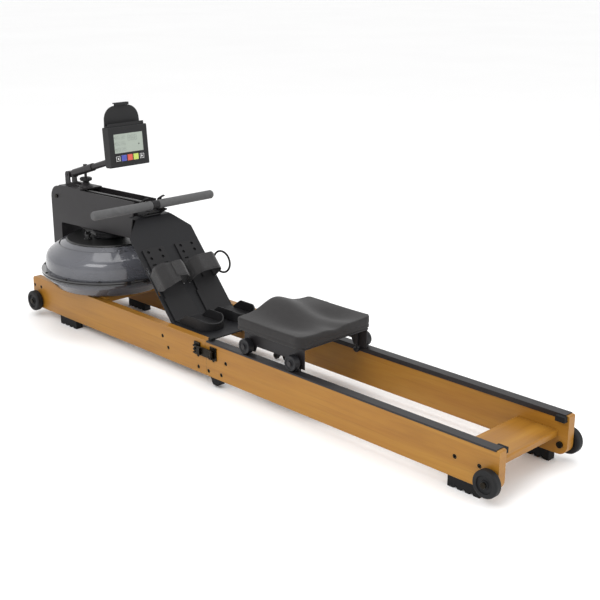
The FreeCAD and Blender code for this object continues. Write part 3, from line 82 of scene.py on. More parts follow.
def mesh_piece(name, vertices, faces, body, material, smooth=True):
    """A mesh object, which rides on a body if one is given."""
    mesh = bpy.data.meshes.new(name)
    mesh.from_pydata([tuple(point) for point in vertices], [], faces)
    mesh.validate()
    mesh.update()
    item = bpy.data.objects.new(name, mesh)
    bpy.context.scene.collection.objects.link(item)
    mesh.materials.append(material)
    for polygon in mesh.polygons:
        polygon.use_smooth = smooth
    if body:
        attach(item, body)
    return item


# ------------------------------------------------------------------ materials

class Recipe:
    """A node material under construction, with short calls for the nodes that it needs."""

    def __init__(self, name):
        self.material = bpy.data.materials.new(name)
        self.material.use_nodes = True
        self.tree = self.material.node_tree
        self.shader = self.tree.nodes["Principled BSDF"]
        self.coordinates = self.node("ShaderNodeTexCoord").outputs["Object"]

    def node(self, kind, **settings):
        made = self.tree.nodes.new(kind)
        for name, value in settings.items():
            setattr(made, name, value)
        return made

    def link(self, source, target):
        self.tree.links.new(source, target)

    def feed(self, socket, value):
        """Links a socket, or sets a plain value on it."""
        if isinstance(value, bpy.types.NodeSocket):
            self.link(value, socket)
        else:
            socket.default_value = value

    def stretched(self, scale):
        """The object's coordinates scaled by a different number along each axis."""
        mapping = self.node("ShaderNodeMapping")
        mapping.inputs["Scale"].default_value = scale
        self.link(self.coordinates, mapping.inputs["Vector"])
        return mapping.outputs["Vector"]

    def noise(self, scale, detail=4, roughness=0.55, distortion=0, where=None):
        made = self.node("ShaderNodeTexNoise")
        made.inputs["Scale"].default_value = scale
        made.inputs["Detail"].default_value = detail
        made.inputs["Roughness"].default_value = roughness
        made.inputs["Distortion"].default_value = distortion
        self.link(where or self.coordinates, made.inputs["Vector"])
        return made.outputs["Fac"]

    def cells(self, scale):
        made = self.node("ShaderNodeTexVoronoi", feature="SMOOTH_F1")
        made.inputs["Scale"].default_value = scale
        self.link(self.coordinates, made.inputs["Vector"])
        return made.outputs["Distance"]

    def wave(self, scale, direction, where):
        made = self.node("ShaderNodeTexWave", bands_direction=direction)
        made.inputs["Scale"].default_value = scale
        self.link(where, made.inputs["Vector"])
        return made.outputs["Fac"]

    def ramp(self, factor, stops):
        """A colour ramp: stops are (place, colour), where a colour is a tuple or a grey."""
        made = self.node("ShaderNodeValToRGB")
        band = made.color_ramp
        while len(band.elements) < len(stops):
            band.elements.new(0.5)
        for element, (place, colour) in zip(band.elements, stops):
            element.position = place
            element.color = colour if isinstance(colour, tuple) else (colour, colour, colour, 1)
        self.link(factor, made.inputs["Fac"])
        return made.outputs["Color"]

    def blend(self, factor, first, second, mode="MIX"):
        made = self.node("ShaderNodeMix", data_type="RGBA", blend_type=mode)
        self.feed(made.inputs[0], factor)
        self.feed(made.inputs[6], first)
        self.feed(made.inputs[7], second)
        return made.outputs[2]

    def math(self, operation, *values):
        made = self.node("ShaderNodeMath", operation=operation)
        for socket, value in zip(made.inputs, values):
            self.feed(socket, value)
        return made.outputs[0]

    def edges(self, radius):
        """1 on an edge worn within this radius, and 0 on open faces."""
        bevel = self.node("ShaderNodeBevel", samples=4)
        bevel.inputs["Radius"].default_value = radius
        geometry = self.node("ShaderNodeNewGeometry")
        product = self.node("ShaderNodeVectorMath", operation="DOT_PRODUCT")
        self.link(bevel.outputs["Normal"], product.inputs[0])
        self.link(geometry.outputs["Normal"], product.inputs[1])
        bent, straight = 0.75, 0.97
        return self.ramp(product.outputs["Value"], [(bent, 1.0), (straight, 0.0)])

    def soft_edges(self, radius):
        """A normal that rounds every sharp edge by this radius."""
        bevel = self.node("ShaderNodeBevel", samples=4)
        bevel.inputs["Radius"].default_value = radius
        return bevel.outputs["Normal"]

    def bump(self, height, distance, strength, under=None):
        made = self.node("ShaderNodeBump")
        made.inputs["Strength"].default_value = strength
        made.inputs["Distance"].default_value = distance
        self.link(height, made.inputs["Height"])
        if under is not None:
            self.link(under, made.inputs["Normal"])
        return made.outputs["Normal"]

    def finish(self, colour, roughness, normal=None, **plain):
        """The finished material. plain gives the shader's other values by their sockets' names."""
        shader = self.shader.inputs
        self.feed(shader["Base Color"], colour)
        self.feed(shader["Roughness"], roughness)
        if normal is not None:
            self.link(normal, shader["Normal"])
        for name, value in plain.items():
            shader[name.replace("_", " ")].default_value = value
        return self.material


def timber(name, along):
    """Varnished golden timber whose grain runs along one axis."""
    recipe = Recipe(name)
    broad, fine = [14] * 3, [150] * 3
    broad[along], fine[along] = 1.2, 4
    figure = recipe.noise(1, 5, 0.6, 0.8, recipe.stretched(broad))
    pores = recipe.noise(1, 3, 0.7, 0.1, recipe.stretched(fine))
    drift = recipe.noise(2.3, 2, 0.5)
    base = recipe.ramp(figure, [(0.25, rgb(134, 89, 24)), (0.5, rgb(154, 107, 34)),
                                (0.75, rgb(170, 124, 46))])
    toned = recipe.blend(recipe.ramp(drift, [(0.35, 0.0), (0.7, 0.35)]), base, rgb(146, 94, 26))
    streaks = recipe.ramp(pores, [(0.3, 0.72), (0.5, 1.0)])
    colour = recipe.blend(0.5, toned, streaks, "MULTIPLY")
    worn = recipe.blend(recipe.edges(0.0016), colour, rgb(190, 152, 88))
    normal = recipe.bump(pores, 0.0002, 0.35, recipe.soft_edges(0.0025))
    rough = recipe.ramp(figure, [(0.3, 0.36), (0.7, 0.46)])
    return recipe.finish(worn, rough, normal, Coat_Weight=0.12, Coat_Roughness=0.25,
                         Specular_IOR_Level=0.3)


def coated(name, colour, worn, roughness=0.42):
    """Powder coat on steel: fine orange peel, faint cloudiness, paler along the edges."""
    recipe = Recipe(name)
    peel = recipe.noise(900, 2, 0.5)
    cloud = recipe.noise(9, 3, 0.6)
    shade = recipe.blend(recipe.ramp(cloud, [(0.3, 0.0), (0.8, 0.4)]), colour, worn)
    edge = recipe.blend(recipe.edges(0.0008), shade, worn)
    rough = recipe.ramp(cloud, [(0.3, roughness - 0.05), (0.7, roughness + 0.07)])
    return recipe.finish(edge, rough, recipe.bump(peel, 0.00012, 0.5, recipe.soft_edges(0.0012)),
                         Specular_IOR_Level=0.3)


def moulded(name, colour, worn, grain=1400, roughness=0.55, depth=0.00012):
    """Moulded plastic or rubber with a fine leathery grain."""
    recipe = Recipe(name)
    pebbles = recipe.cells(grain)
    cloud = recipe.noise(14, 3, 0.6)
    shade = recipe.blend(recipe.ramp(cloud, [(0.35, 0.0), (0.75, 0.35)]), colour, worn)
    edge = recipe.blend(recipe.edges(0.0007), shade, worn)
    rough = recipe.ramp(cloud, [(0.3, roughness - 0.06), (0.7, roughness + 0.08)])
    return recipe.finish(edge, rough, recipe.bump(pebbles, depth, 0.5, recipe.soft_edges(0.0014)),
                         Specular_IOR_Level=0.3)


def bolt_steel(name, colour, roughness=0.38):
    """Oiled black steel with fine turning marks."""
    recipe = Recipe(name)
    marks = recipe.noise(260, 3, 0.7)
    rough = recipe.ramp(marks, [(0.3, roughness - 0.1), (0.7, roughness + 0.12)])
    shade = recipe.blend(recipe.edges(0.0005), colour, rgb(120, 116, 110))
    return recipe.finish(shade, rough, recipe.bump(marks, 0.00008, 0.4), Metallic=0.85)


def webbing(name, colour, pale):
    """Woven nylon: ribs along the strap crossed by fine picks, with a soft sheen."""
    recipe = Recipe(name)
    flat = recipe.node("ShaderNodeTexCoord").outputs["UV"]
    ribs = recipe.wave(260, "X", flat)
    picks = recipe.wave(420, "Y", flat)
    weave = recipe.math("MULTIPLY", ribs, picks)
    fuzz = recipe.noise(900, 2)
    shade = recipe.blend(recipe.ramp(weave, [(0.1, 0.0), (0.8, 0.7)]), colour, pale)
    return recipe.finish(shade, recipe.ramp(fuzz, [(0.3, 0.72), (0.7, 0.9)]),
                         recipe.bump(weave, 0.0003, 0.6), Sheen_Weight=0.25, Sheen_Roughness=0.5)


def foam(name, colour, pale, grain, depth, roughness=0.8):
    """Foam rubber skin: irregular pores over a soft uneven tone."""
    recipe = Recipe(name)
    pores = recipe.cells(grain)
    lumps = recipe.noise(60, 4, 0.6)
    height = recipe.blend(0.4, pores, lumps)
    shade = recipe.blend(recipe.ramp(lumps, [(0.35, 0.0), (0.7, 0.6)]), colour, pale)
    rough = recipe.ramp(pores, [(0.1, roughness - 0.08), (0.6, roughness + 0.06)])
    return recipe.finish(shade, rough, recipe.bump(height, depth, 0.6), Sheen_Weight=0.08,
                         Specular_IOR_Level=0.3)


# the flange's radius, and the radius and half width of the painted shade ring in the deck's groove
FLANGE_RADIUS, GROOVE_RADIUS, GROOVE_SHADE_HALF = 0.2335, 0.178, 0.0016


def smoked(name, colour, alpha):
    """Smoked clear polycarbonate, dark along its flange, with painted shade as a dark line in the
    groove round its deck.
    """
    recipe = Recipe(name)
    flow = recipe.noise(7, 3, 0.5)
    scuff = recipe.noise(180, 4, 0.7)
    shade = recipe.blend(recipe.ramp(flow, [(0.3, 0.0), (0.8, 0.3)]), colour, rgb(132, 133, 140))
    shaft = NODES["tank_upper_shell"].matrix_world.inverted() @ middle("tank_upper_shell")
    flat = recipe.node("ShaderNodeVectorMath", operation="MULTIPLY_ADD")
    recipe.link(recipe.coordinates, flat.inputs[0])
    flat.inputs[1].default_value = (1, 1, 0)
    flat.inputs[2].default_value = (-shaft.x, -shaft.y, 0)
    length = recipe.node("ShaderNodeVectorMath", operation="LENGTH")
    recipe.link(flat.outputs[0], length.inputs[0])
    radius = length.outputs["Value"]
    flange = recipe.math("GREATER_THAN", radius, FLANGE_RADIUS)
    # painted shade: a thin dark opaque ring at the groove round the deck stands in for the groove's
    # shade
    groove = recipe.math("COMPARE", radius, GROOVE_RADIUS, GROOVE_SHADE_HALF)
    dark_flange_and_groove_shade = recipe.math("MAXIMUM", flange, groove)
    # the flange's own dark colour, and the painted shade in the groove, both made opaque below
    shade = recipe.blend(dark_flange_and_groove_shade, shade, dark(60, 60, 64))
    rough = recipe.ramp(scuff, [(0.35, 0.07), (0.75, 0.2)])
    opaque = recipe.math("MULTIPLY_ADD", dark_flange_and_groove_shade, 1 - alpha, alpha)
    made = recipe.finish(shade, rough, recipe.bump(flow, 0.0004, 0.3), Coat_Weight=0.6,
                         Coat_Roughness=0.05)
    recipe.link(opaque, recipe.shader.inputs["Alpha"])
    return made


def plain_gloss(name, colour, roughness):
    """Smooth moulded colour with a faint fine texture."""
    recipe = Recipe(name)
    fine = recipe.noise(700, 2, 0.5)
    rough = recipe.ramp(fine, [(0.3, roughness - 0.04), (0.7, roughness + 0.06)])
    shade = recipe.blend(recipe.edges(0.0004), colour, rgb(200, 200, 200))
    return recipe.finish(shade, rough, recipe.bump(fine, 0.00005, 0.3))


MATERIALS = {
    "timber": timber("timber_along", 0),
    "timber_across": timber("timber_across", 1),
    "black_paint": coated("tower_coat", dark(62, 58, 61), dark(92, 88, 90)),
    "black_sheet": coated("sheet_coat", dark(34, 34, 39), dark(62, 62, 68), roughness=0.5),
    "black_plastic": moulded("black_plastic", dark(44, 43, 46), dark(72, 70, 73)),
    "case_plastic": moulded("case_plastic", dark(52, 52, 54), dark(78, 78, 80), roughness=0.5),
    "rubber": moulded("foot_rubber", dark(30, 30, 32), dark(54, 54, 56), 500, 0.8, 0.0003),
    "wheel_rubber": moulded("wheel_rubber", dark(34, 35, 38), dark(62, 63, 66), 900, 0.6),
    "roller_plastic": moulded("roller_plastic", dark(50, 50, 55), dark(80, 80, 84), 900, 0.45),
    "black_bolt": bolt_steel("black_bolt", dark(62, 54, 40)),
    "steel": bolt_steel("bar_steel", rgb(190, 190, 192), 0.3),
    "tank_clear": smoked("smoked_clear", rgb(84, 85, 91), 0.8),
    "tank_black": plain_gloss("tank_black", dark(20, 20, 22), 0.35),
    "impeller_plastic": moulded("impeller_plastic", dark(60, 64, 72), dark(90, 94, 100)),
    "grip_foam": foam("grip_foam", dark(148, 148, 149), dark(166, 166, 167), 900, 0.0005),
    "webbing": webbing("webbing", dark(40, 37, 38), dark(76, 71, 73)),
    "seat_foam": foam("seat_skin", dark(58, 54, 54), dark(72, 68, 68), 1500, 0.00015, 0.6),
    "lcd": plain_gloss("display", rgb(158, 167, 157), 0.25),
    "blue_key": plain_gloss("blue_key", rgb(70, 78, 165), 0.35),
    "red_key": plain_gloss("red_key", rgb(205, 84, 66), 0.35),
    "green_key": plain_gloss("green_key", rgb(186, 205, 92), 0.35),
    "thread": moulded("thread", dark(86, 82, 84), dark(120, 116, 118), 2400, 0.8, 0.00005),
    "segment": plain_gloss("display_segment", rgb(112, 121, 113), 0.35),
    "mark": plain_gloss("key_mark", rgb(225, 225, 225), 0.4),
    "black_key": plain_gloss("black_key", dark(34, 36, 38), 0.35),
}

ACROSS = ("front_crossbars", "rear_crossbar")


def dress_nodes():
    """Gives each CAD node the material of its slot. The crossbars' grain runs across."""
    for part in frame["record"]["subparts"]:
        node = NODES[part["node"]]
        key = "timber_across" if part["node"] in ACROSS else part["material_slot"]
        node.data.materials.clear()
        node.data.materials.append(MATERIALS[key])


# ------------------------------------------------------------------ pieces from lists of points

def joined(name, shapes, body, material):
    """One flat-shaded piece made of several (vertices, faces) shapes."""
    vertices, faces = [], []
    for points, polygons in shapes:
        first = len(vertices)
        vertices += points
        faces += [tuple(first + corner for corner in polygon) for polygon in polygons]
    mesh_piece(name, vertices, faces, body, material, smooth=False)


def prism(corners, rise):
    """A flat outline raised along a vector, closed all round."""
    count = len(corners)
    points = [Vector(corner) for corner in corners] + [Vector(corner) + rise for corner in corners]
    faces = [tuple(reversed(range(count))), tuple(range(count, 2 * count))]
    for corner in range(count):
        after = (corner + 1) % count
        faces.append((corner, after, count + after, count + corner))
    return points, faces


def tube_faces(rings, sides, closed=False):
    """The faces of a tube given ring by ring: closed on itself, or capped at both ends."""
    count = rings * sides
    faces = [] if closed else [tuple(range(sides)), tuple(reversed(range(count - sides, count)))]
    for ring in range(rings if closed else rings - 1):
        here, there = ring * sides, (ring + 1) * sides % count
        for side in range(sides):
            after = (side + 1) % sides
            faces.append((here + side, there + side, there + after, here + after))
    return faces


def unwrap(piece, places):
    """Gives a piece its UVs: one place in metres for each vertex."""
    layer = piece.data.uv_layers.new(name="weave")
    for loop in piece.data.loops:
        layer.data[loop.index].uv = places[loop.vertex_index]


def shade_by_angle(piece):
    """Turns every face outward, and shades smoothly over gentle turns only."""
    bm = bmesh.new()
    bm.from_mesh(piece.data)
    bmesh.ops.recalc_face_normals(bm, faces=bm.faces)
    bm.to_mesh(piece.data)
    bm.free()
    piece.data.set_sharp_from_angle(angle=math.radians(50))


def spaced(path, pitch):
    """The same path with points at even steps."""
    lengths = [0.0]
    for one, two in zip(path, path[1:]):
        lengths.append(lengths[-1] + (two - one).length)
    count = max(2, round(lengths[-1] / pitch))
    made, place = [], 0
    for number in range(count + 1):
        goal = lengths[-1] * number / count
        while place < len(path) - 2 and lengths[place + 1] < goal:
            place += 1
        span = max(lengths[place + 1] - lengths[place], 1e-9)
        made.append(path[place].lerp(path[place + 1], (goal - lengths[place]) / span))
    return made


# ------------------------------------------------------------------ seat pad

PAD_VOXEL, PAD_SOFTNESS, PAD_PASSES = 2.6 * MM, 0.5, 14
GROOVE_HEIGHT, GROOVE_HALF, GROOVE_DEPTH = 13 * MM, 2.2 * MM, 1.6 * MM
SIDE_LEAN = 0.6  # a side's normal has a smaller height than this


def apply_modifiers(item):
    """Replaces an object's mesh by what its modifiers make of it."""
    graph = bpy.context.evaluated_depsgraph_get()
    made = bpy.data.meshes.new_from_object(item.evaluated_get(graph), depsgraph=graph)
    item.modifiers.clear()
    item.data = made


def press_groove(mesh, height):
    """Presses a groove at a height into the sides of a form, and leaves its top and underside."""
    normals = [vertex.normal.copy() for vertex in mesh.vertices]
    for vertex, normal in zip(mesh.vertices, normals):
        level = math.exp(-((vertex.co.z - height) / GROOVE_HALF) ** 2)
        if abs(normal.z) < SIDE_LEAN:
            vertex.co -= normal * GROOVE_DEPTH * level


def seat_pad():
    """The moulded foam pad: the CAD form with soft shoulders and a groove round its side."""
    source = NODES["seat_pad"]
    pad = bpy.data.objects.new("seat_cushion", source.data.copy())
    pad.data.transform(source.matrix_world)
    bpy.context.scene.collection.objects.link(pad)
    remesh = pad.modifiers.new("remesh", "REMESH")
    remesh.mode, remesh.voxel_size = "VOXEL", PAD_VOXEL
    soften = pad.modifiers.new("soften", "SMOOTH")
    soften.factor, soften.iterations = PAD_SOFTNESS, PAD_PASSES
    apply_modifiers(pad)
    press_groove(pad.data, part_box("seat_pad")[0].z + GROOVE_HEIGHT)
    pad.data.materials.clear()
    pad.data.materials.append(MATERIALS["seat_foam"])
    for polygon in pad.data.polygons:
        polygon.use_smooth = True
    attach(pad, "seat")
    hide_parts("seat_pad")


# ------------------------------------------------------------------ foot straps
# Lengths here are in millimetres down the footboard's slope (run), across it and off it (out).

BEND = Vector((534.5 - MIDDLE_STATION, 0, 432)) * MM
FOOT_ANGLE = math.radians(49)
DOWN_SLOPE = Vector((math.cos(FOOT_ANGLE), 0, -math.sin(FOOT_ANGLE)))
OFF_SLOPE = Vector((math.sin(FOOT_ANGLE), 0, math.cos(FOOT_ANGLE)))
STRAP_RUN, PAD_RUN = 232, 241
LEFT_FOOT, RIGHT_FOOT = -67, 67
PATH_PITCH, CORNER_RADIUS, CORNER_STEPS = 3.0, 16, 6
BAND_COLUMNS = 14
BAND_HALF, SEAM_HALF = 32.5, 26.5
PAD_THICK, FLAP_THICK, BAND_THICK = 4.2, 2.8, 3.0
EDGE_POWER, EDGE_THINNING = 8, 0.75
STITCH_PITCH, STITCH_GAP, THREAD, THREAD_END, THREAD_SIDES = 4.2, 0.18, 0.45, 0.2, 6
LOOP_RUN, LOOP_OUT, LOOP_LONG, LOOP_HIGH = 238, 46, 38, 27
LOOP_ACROSS, LOOP_LEAN, LOOP_THICK = 71, 11, 3.5


def on_board(run, across, out):
    """A place on the footboard's slope."""
    return BEND + DOWN_SLOPE * run * MM + Vector((0, across * MM, 0)) + OFF_SLOPE * out * MM


def rounded(points):
    """A path of (across, out) points with each inner corner rounded."""
    made = [Vector(points[0])]
    for before, corner, after in zip(points, points[1:], points[2:]):
        corner = Vector(corner)
        back = (Vector(before) - corner).normalized()
        ahead = (Vector(after) - corner).normalized()
        reach = CORNER_RADIUS * math.tan((math.pi - back.angle(ahead)) / 2)
        first, last = corner + back * reach, corner + ahead * reach
        for step in range(CORNER_STEPS + 1):
            part = step / CORNER_STEPS
            made.append(first * (1 - part) ** 2 + corner * 2 * part * (1 - part) + last * part ** 2)
    made.append(Vector(points[-1]))
    return spaced(made, PATH_PITCH)


def outward_of(before, after):
    """The unit vector off an (across, out) path between two of its points."""
    along = (after - before).normalized()
    return Vector((-along.y, along.x))


def ribbon(path, half_width, thickness, centre, run):
    """A padded band swept along a path, with thinner edges: vertices, faces and UVs.

    half_width gives the band's half width at a share of its length."""
    top, under, flat = [], [], []
    length = 0.0
    for number, point in enumerate(path):
        outward = outward_of(path[max(number - 1, 0)], path[min(number + 1, len(path) - 1)])
        if number:
            length += (point - path[number - 1]).length
        half = half_width(number / (len(path) - 1))
        for column in range(BAND_COLUMNS + 1):
            part = 2 * column / BAND_COLUMNS - 1
            swell = thickness / 2 * (1 - abs(part) ** EDGE_POWER * EDGE_THINNING)
            for side, layer in ((1, top), (-1, under)):
                place = point + outward * swell * side
                layer.append(on_board(run + half * part, centre + place.x, place.y))
            flat.append((half * part * MM, length * MM))
    count, wide = len(top), BAND_COLUMNS + 1
    faces = []
    for row in range(len(path) - 1):
        for column in range(BAND_COLUMNS):
            first = row * wide + column
            quad = (first, first + 1, first + 1 + wide, first + wide)
            faces += [quad, tuple(count + corner for corner in reversed(quad))]
        for first in (row * wide, row * wide + BAND_COLUMNS):
            faces.append((first, first + wide, count + first + wide, count + first))
    for row in (0, len(path) - 1):
        for first in range(row * wide, row * wide + BAND_COLUMNS):
            faces.append((first, count + first, count + first + 1, first + 1))
    return top + under, faces, flat + flat


def band(name, path, half_width, thickness, centre, run=STRAP_RUN):
    """A webbing strap over a foot."""
    vertices, faces, flat = ribbon(path, half_width, thickness, centre, run)
    piece = mesh_piece(name, vertices, faces, "front_frame", MATERIALS["webbing"])
    unwrap(piece, flat)
    shade_by_angle(piece)
    return piece


def stitches(path, run, centre, lift):
    """Raised thread stitches along a path, lifted off its middle surface: a list of shapes."""
    shapes = []
    beads = spaced(path, STITCH_PITCH)
    for before, after in zip(beads, beads[1:]):
        outward = outward_of(before, after)
        first = before.lerp(after, STITCH_GAP) + outward * lift
        last = before.lerp(after, 1 - STITCH_GAP) + outward * lift
        crown = (first + last) / 2 + outward * THREAD
        corners = []
        for point, width in ((first, THREAD_END), (crown, THREAD), (last, THREAD_END)):
            for step in range(THREAD_SIDES):
                angle = math.tau * step / THREAD_SIDES
                place = point + outward * width * math.sin(angle)
                corners.append(on_board(run + width * math.cos(angle), centre + place.x, place.y))
        shapes.append((corners, tube_faces(3, THREAD_SIDES)))
    return shapes


def pad_width(part):
    """The left pad widens past its slot and narrows towards its end."""
    grown = min(1.0, max(0.0, (part - 0.1) / 0.2))
    shrunk = min(1.0, max(0.0, (1 - part) / 0.35))
    return 30 + 12 * grown * (0.2 + 0.8 * shrunk)


def flap_width(part):
    """The left flap narrows a little past its slot, and again at its end."""
    return BAND_HALF - 4 * min(1, part * 3) - 3 * part ** 8


def plain_width(part):
    """The right band is drawn in a little over the foot."""
    return BAND_HALF - 1.5 * math.sin(math.pi * part)


def foot_straps():
    """The webbing straps over the feet: on the left a wide pad and a flap, on the right a band."""
    pad_path = rounded([(-55, -9), (-55, 44), (-34, 65), (2, 65.5)])
    flap_path = rounded([(55, -9), (55, 46), (34, 67.5), (-9, 69.5)])
    band_path = rounded([(-55, -9), (-55, 46), (-33, 67.5), (33, 67.5), (55, 46), (55, -9)])
    pad = band("left_strap_pad", pad_path, pad_width, PAD_THICK, LEFT_FOOT, PAD_RUN)
    flap = band("left_strap_flap", flap_path, flap_width, FLAP_THICK, LEFT_FOOT)
    right_band = band("right_strap_band", band_path, plain_width, BAND_THICK, RIGHT_FOOT)
    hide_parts("left_foot_strap")
    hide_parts("left_foot_strap")
    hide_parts("right_foot_strap")
    seams = []
    for inset in (-SEAM_HALF, SEAM_HALF):
        seams += stitches(band_path, STRAP_RUN + inset, RIGHT_FOOT, 1.5)
        seams += stitches(flap_path, STRAP_RUN + inset * 0.88, LEFT_FOOT, -1.5)
        seams += stitches(pad_path[len(pad_path) // 5:], PAD_RUN + inset, LEFT_FOOT, 2.2)
    joined("strap_stitching", seams, "front_frame", MATERIALS["thread"])
    pull_loop()


def pull_loop():
    """The thin oval pull loop on the right strap's outer flank, which leans outward at its top."""
    vertices = []
    around, sides = 48, 10
    for number in range(around):
        angle = math.tau * number / around
        run, out = LOOP_RUN + LOOP_LONG * math.cos(angle), LOOP_OUT + LOOP_HIGH * math.sin(angle)
        across = RIGHT_FOOT + LOOP_ACROSS + LOOP_LEAN * math.sin(angle)
        for step in range(sides):
            turn = math.tau * step / sides
            radial = math.cos(turn) * LOOP_THICK
            vertices.append(on_board(run + radial * math.cos(angle),
                                     across + LOOP_THICK * math.sin(turn),
                                     out + radial * math.sin(angle)))
    loop = mesh_piece("right_strap_loop", vertices, tube_faces(around, sides, closed=True),
                      "front_frame", MATERIALS["rubber"])
    shade_by_angle(loop)


# ------------------------------------------------------------------ pull strap
# The strap runs from the handle over a roller, along the tower and over the front pulley, then down,
# round a bend and back, turning on edge on its way to the drum. Stations and heights are in
# millimetres, and so is each turn's radius at the middle of the strap.

STRAP_WIDTH, STRAP_THICK = 14.5 * MM, 1.6 * MM
STRAP_PROFILE = ((-0.5, -0.3), (-0.46, -0.5), (0.46, -0.5), (0.5, -0.3),
                 (0.5, 0.3), (0.46, 0.5), (-0.46, 0.5), (-0.5, 0.3))
STRAP_FALL = 2.1
REAR_ROLLER, FRONT_PULLEY = ((470, 458.9), 13.1), ((11, 427.06), 28.1)
LOWER_BEND = (-7.1, 339.2), 10
FREE_HEIGHT, DRUM_HEIGHT = 472, 329.2
FREE_START, FREE_PITCH, FREE_POINTS = 527, 1.5, 36
TWIST_START, DRUM_STATION, TWIST_STEPS = 42, 273, 32
DRUM_REACH = 51.6 * MM


def station(along, across, height):
    """A place from its station along the rails."""
    return Vector((along - MIDDLE_STATION, across, height)) * MM


def arc(centre, radius, first, last, steps=12):
    """Points round a roller seen from the side: centre is (station, height), angles in degrees."""
    made = []
    for step in range(steps + 1):
        angle = math.radians(first + (last - first) * step / steps)
        made.append(station(centre[0] + radius * math.cos(angle), 0,
                            centre[1] + radius * math.sin(angle)))
    return made


def strap_sections():
    """The strap's middle line from the handle to the drum: (point, across) pairs."""
    path = [station(FREE_START - FREE_PITCH * step, 0, FREE_HEIGHT) for step in range(FREE_POINTS)]
    path += arc(*REAR_ROLLER, 90, 90 + STRAP_FALL, 2)
    path += arc(*FRONT_PULLEY, 90 + STRAP_FALL, 180)
    path += arc(*LOWER_BEND, 180, 270) + [station(20, 0, DRUM_HEIGHT)]
    sections = [(point, Vector((0, 1, 0))) for point in path]
    start, drum = station(TWIST_START, 0, DRUM_HEIGHT), station(DRUM_STATION, 0, DRUM_HEIGHT)
    lean = math.asin(DRUM_REACH / (drum - start).length)
    onto = drum - Vector((DRUM_REACH * math.sin(lean), DRUM_REACH * math.cos(lean), 0))
    for step in range(TWIST_STEPS + 1):
        part = step / TWIST_STEPS
        angle = math.radians(90 * part)
        aside = Vector((math.sin(lean * part), math.cos(lean * part), 0))
        sections.append((start.lerp(onto, part),
                         aside * math.cos(angle) + Vector((0, 0, math.sin(angle)))))
    return sections


def pull_strap():
    """The strap from the handle to the drum."""
    sections = strap_sections()
    vertices, flat, length = [], [], 0.0
    for number, (point, across) in enumerate(sections):
        before = sections[max(number - 1, 0)][0]
        after = sections[min(number + 1, len(sections) - 1)][0]
        through = (after - before).normalized().cross(across).normalized()
        length += (point - before).length
        for wide, deep in STRAP_PROFILE:
            vertices.append(point + across * wide * STRAP_WIDTH + through * deep * STRAP_THICK)
            flat.append((wide * STRAP_WIDTH, length))
    strap = mesh_piece("drive_strap", vertices, tube_faces(len(sections), len(STRAP_PROFILE)), None,
                       MATERIALS["webbing"])
    unwrap(strap, flat)
    shade_by_angle(strap)
    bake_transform(strap)
    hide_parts("pull_strap")


# ------------------------------------------------------------------ display
# Outlines here are in millimetres to the right and up from a node's middle.

TILT = math.radians(4.5)
SCREEN_OUT = Vector((math.cos(TILT), 0, math.sin(TILT)))
SCREEN_UP = Vector((-math.sin(TILT), 0, math.cos(TILT)))
SCREEN_RIGHT = Vector((0, 1, 0))
RAY_HEIGHT, SUNK = 40, 0.1
SEGMENT_RISE, MARK_RISE = 0.12, 0.15
SMALL_DIGIT, LARGE_DIGIT = (7.5, 14, 1.3), (10, 20, 1.8)  # width, height and stroke
SEGMENT_GAP = 0.4
KEY_HALF, KEY_LINE = 8, 1.2


def solid_of(node):
    """A CAD node's mesh at rest, ready for rays."""
    item = NODES[node]
    points = [item.matrix_world @ vertex.co for vertex in item.data.vertices]
    return BVHTree.FromPolygons(points, [tuple(polygon.vertices) for polygon in item.data.polygons])


def screen_marks(name, node, outlines, body, key):
    """One piece of raised shapes on a node's face. outlines holds (outline, rise) pairs."""
    solid, start = solid_of(node), middle(node) + SCREEN_OUT * RAY_HEIGHT * MM
    shapes = []
    for outline, rise in outlines:
        corners = []
        for right, up in outline:
            place = start + SCREEN_RIGHT * right * MM + SCREEN_UP * up * MM
            landing = solid.ray_cast(place, -SCREEN_OUT)[0]
            corners.append(landing - SCREEN_OUT * SUNK * MM)
        shapes.append(prism(corners, SCREEN_OUT * (rise + SUNK) * MM))
    joined(name, shapes, body, MATERIALS[key])


def bar(right, up, width, height):
    return [(right, up), (right + width, up), (right + width, up + height), (right, up + height)]


def digit(right, up, width, height, stroke):
    """The seven bars of one unlit digit."""
    gap, half = SEGMENT_GAP, height / 2
    long_bar = width - 2 * stroke - 2 * gap
    bars = [bar(right + stroke + gap, up + level, long_bar, stroke)
            for level in (0, half - stroke / 2, height - stroke)]
    for side in (0, width - stroke):
        for level in (stroke / 2 + gap, half + gap):
            bars.append(bar(right + side, up + level, stroke, half - stroke / 2 - 2 * gap))
    return bars


def display():
    """Unlit segments and a pointer on the display, and a framed arrow on each of its end keys."""
    bars = []
    for level in (13, -7, -27):
        for column in range(4):
            bars += digit(-53 + column * 10 + (column > 1) * 3, level, *SMALL_DIGIT)
    for column in range(3):
        bars += digit(-2 + column * 13, 6, *LARGE_DIGIT)
    screen_marks("display_segments", "lcd_window", [(outline, SEGMENT_RISE) for outline in bars],
                 "console", "segment")
    pointer = [([(38, -10), (45, -10), (41.5, -4)], MARK_RISE), (bar(-57, 20, 4, 2), SEGMENT_RISE),
               (bar(-57, 0, 3, 2), SEGMENT_RISE), (bar(-57, -20, 4, 2), SEGMENT_RISE)]
    screen_marks("display_pointer", "lcd_window", pointer, "console", "black_key")
    side, inner = 2 * KEY_HALF, KEY_HALF - KEY_LINE
    key_frame = [bar(-KEY_HALF, -KEY_HALF, side, KEY_LINE), bar(-KEY_HALF, inner, side, KEY_LINE),
                 bar(-KEY_HALF, -inner, KEY_LINE, 2 * inner),
                 bar(inner, -inner, KEY_LINE, 2 * inner)]
    for name, way in (("left_arrow_button", -1), ("right_arrow_button", 1)):
        arrow = [(3.8 * way, 0), (-3 * way, 4.2 * way), (-3 * way, -4.2 * way)]
        marks = [(outline, MARK_RISE) for outline in key_frame + [arrow]]
        screen_marks(f"{name}_mark", name, marks, name, "mark")


# ------------------------------------------------------------------ studio

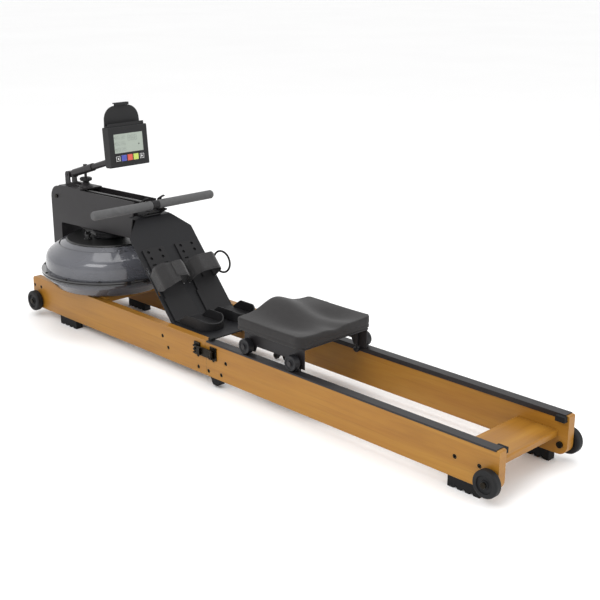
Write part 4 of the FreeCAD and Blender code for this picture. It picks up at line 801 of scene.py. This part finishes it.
CAMERA_AZIMUTH, CAMERA_ELEVATION = 45.79, 17.56
CAMERA_PLACE = (2.4309, -2.1648, 1.2771)
CAMERA_LENS, CAMERA_SENSOR = 65.65, 36
FLOOR_REACH = 60


def camera():
    data = bpy.data.cameras.new("camera")
    data.lens, data.sensor_width = CAMERA_LENS, CAMERA_SENSOR
    data.clip_end = 250
    item = bpy.data.objects.new("camera", data)
    item.location = CAMERA_PLACE
    item.rotation_euler = (math.radians(90 - CAMERA_ELEVATION), 0, math.radians(CAMERA_AZIMUTH))
    bpy.context.scene.collection.objects.link(item)
    bpy.context.scene.camera = item


def softbox(name, place, aim, size, power):
    """A rectangular light at a place, turned to what it lights. size is (width, height)."""
    data = bpy.data.lights.new(name, "AREA")
    data.shape, data.size, data.size_y, data.energy = "RECTANGLE", size[0], size[1], power
    item = bpy.data.objects.new(name, data)
    item.location = place
    item.rotation_euler = (Vector(aim) - Vector(place)).to_track_quat("-Z", "Y").to_euler()
    bpy.context.scene.collection.objects.link(item)


def studio():
    """Plain soft light all round, three soft lamps and a wide pale floor."""
    world = bpy.data.worlds.new("studio")
    world.use_nodes = True
    background = world.node_tree.nodes["Background"].inputs
    background["Color"].default_value = (1, 1, 1, 1)
    background["Strength"].default_value = 1.0
    bpy.context.scene.world = world
    bpy.context.scene.view_settings.view_transform = "Standard"
    softbox("key_light", (0.6, -3.2, 3.4), (0, 0, 0.2), (2.6, 2.0), 70)
    softbox("top_light", (-0.5, 0.4, 3.6), (0, 0, 0.2), (3.0, 1.6), 30)
    softbox("end_light", (3.6, 0.6, 1.6), (0.4, 0, 0.3), (1.6, 1.6), 22)
    corners = [(FLOOR_REACH * right, FLOOR_REACH * ahead, 0)
               for right, ahead in ((-1, -1), (1, -1), (1, 1), (-1, 1))]
    recipe = Recipe("pale_floor")
    tone = recipe.noise(0.6, 2)
    recipe.finish(recipe.ramp(tone, [(0.3, 0.965), (0.7, 0.985)]), 0.8)
    mesh_piece("floor", corners, [(0, 1, 2, 3)], None, recipe.material, smooth=False)


camera()
studio()
dress_nodes()
seat_pad()
foot_straps()
pull_strap()
display()
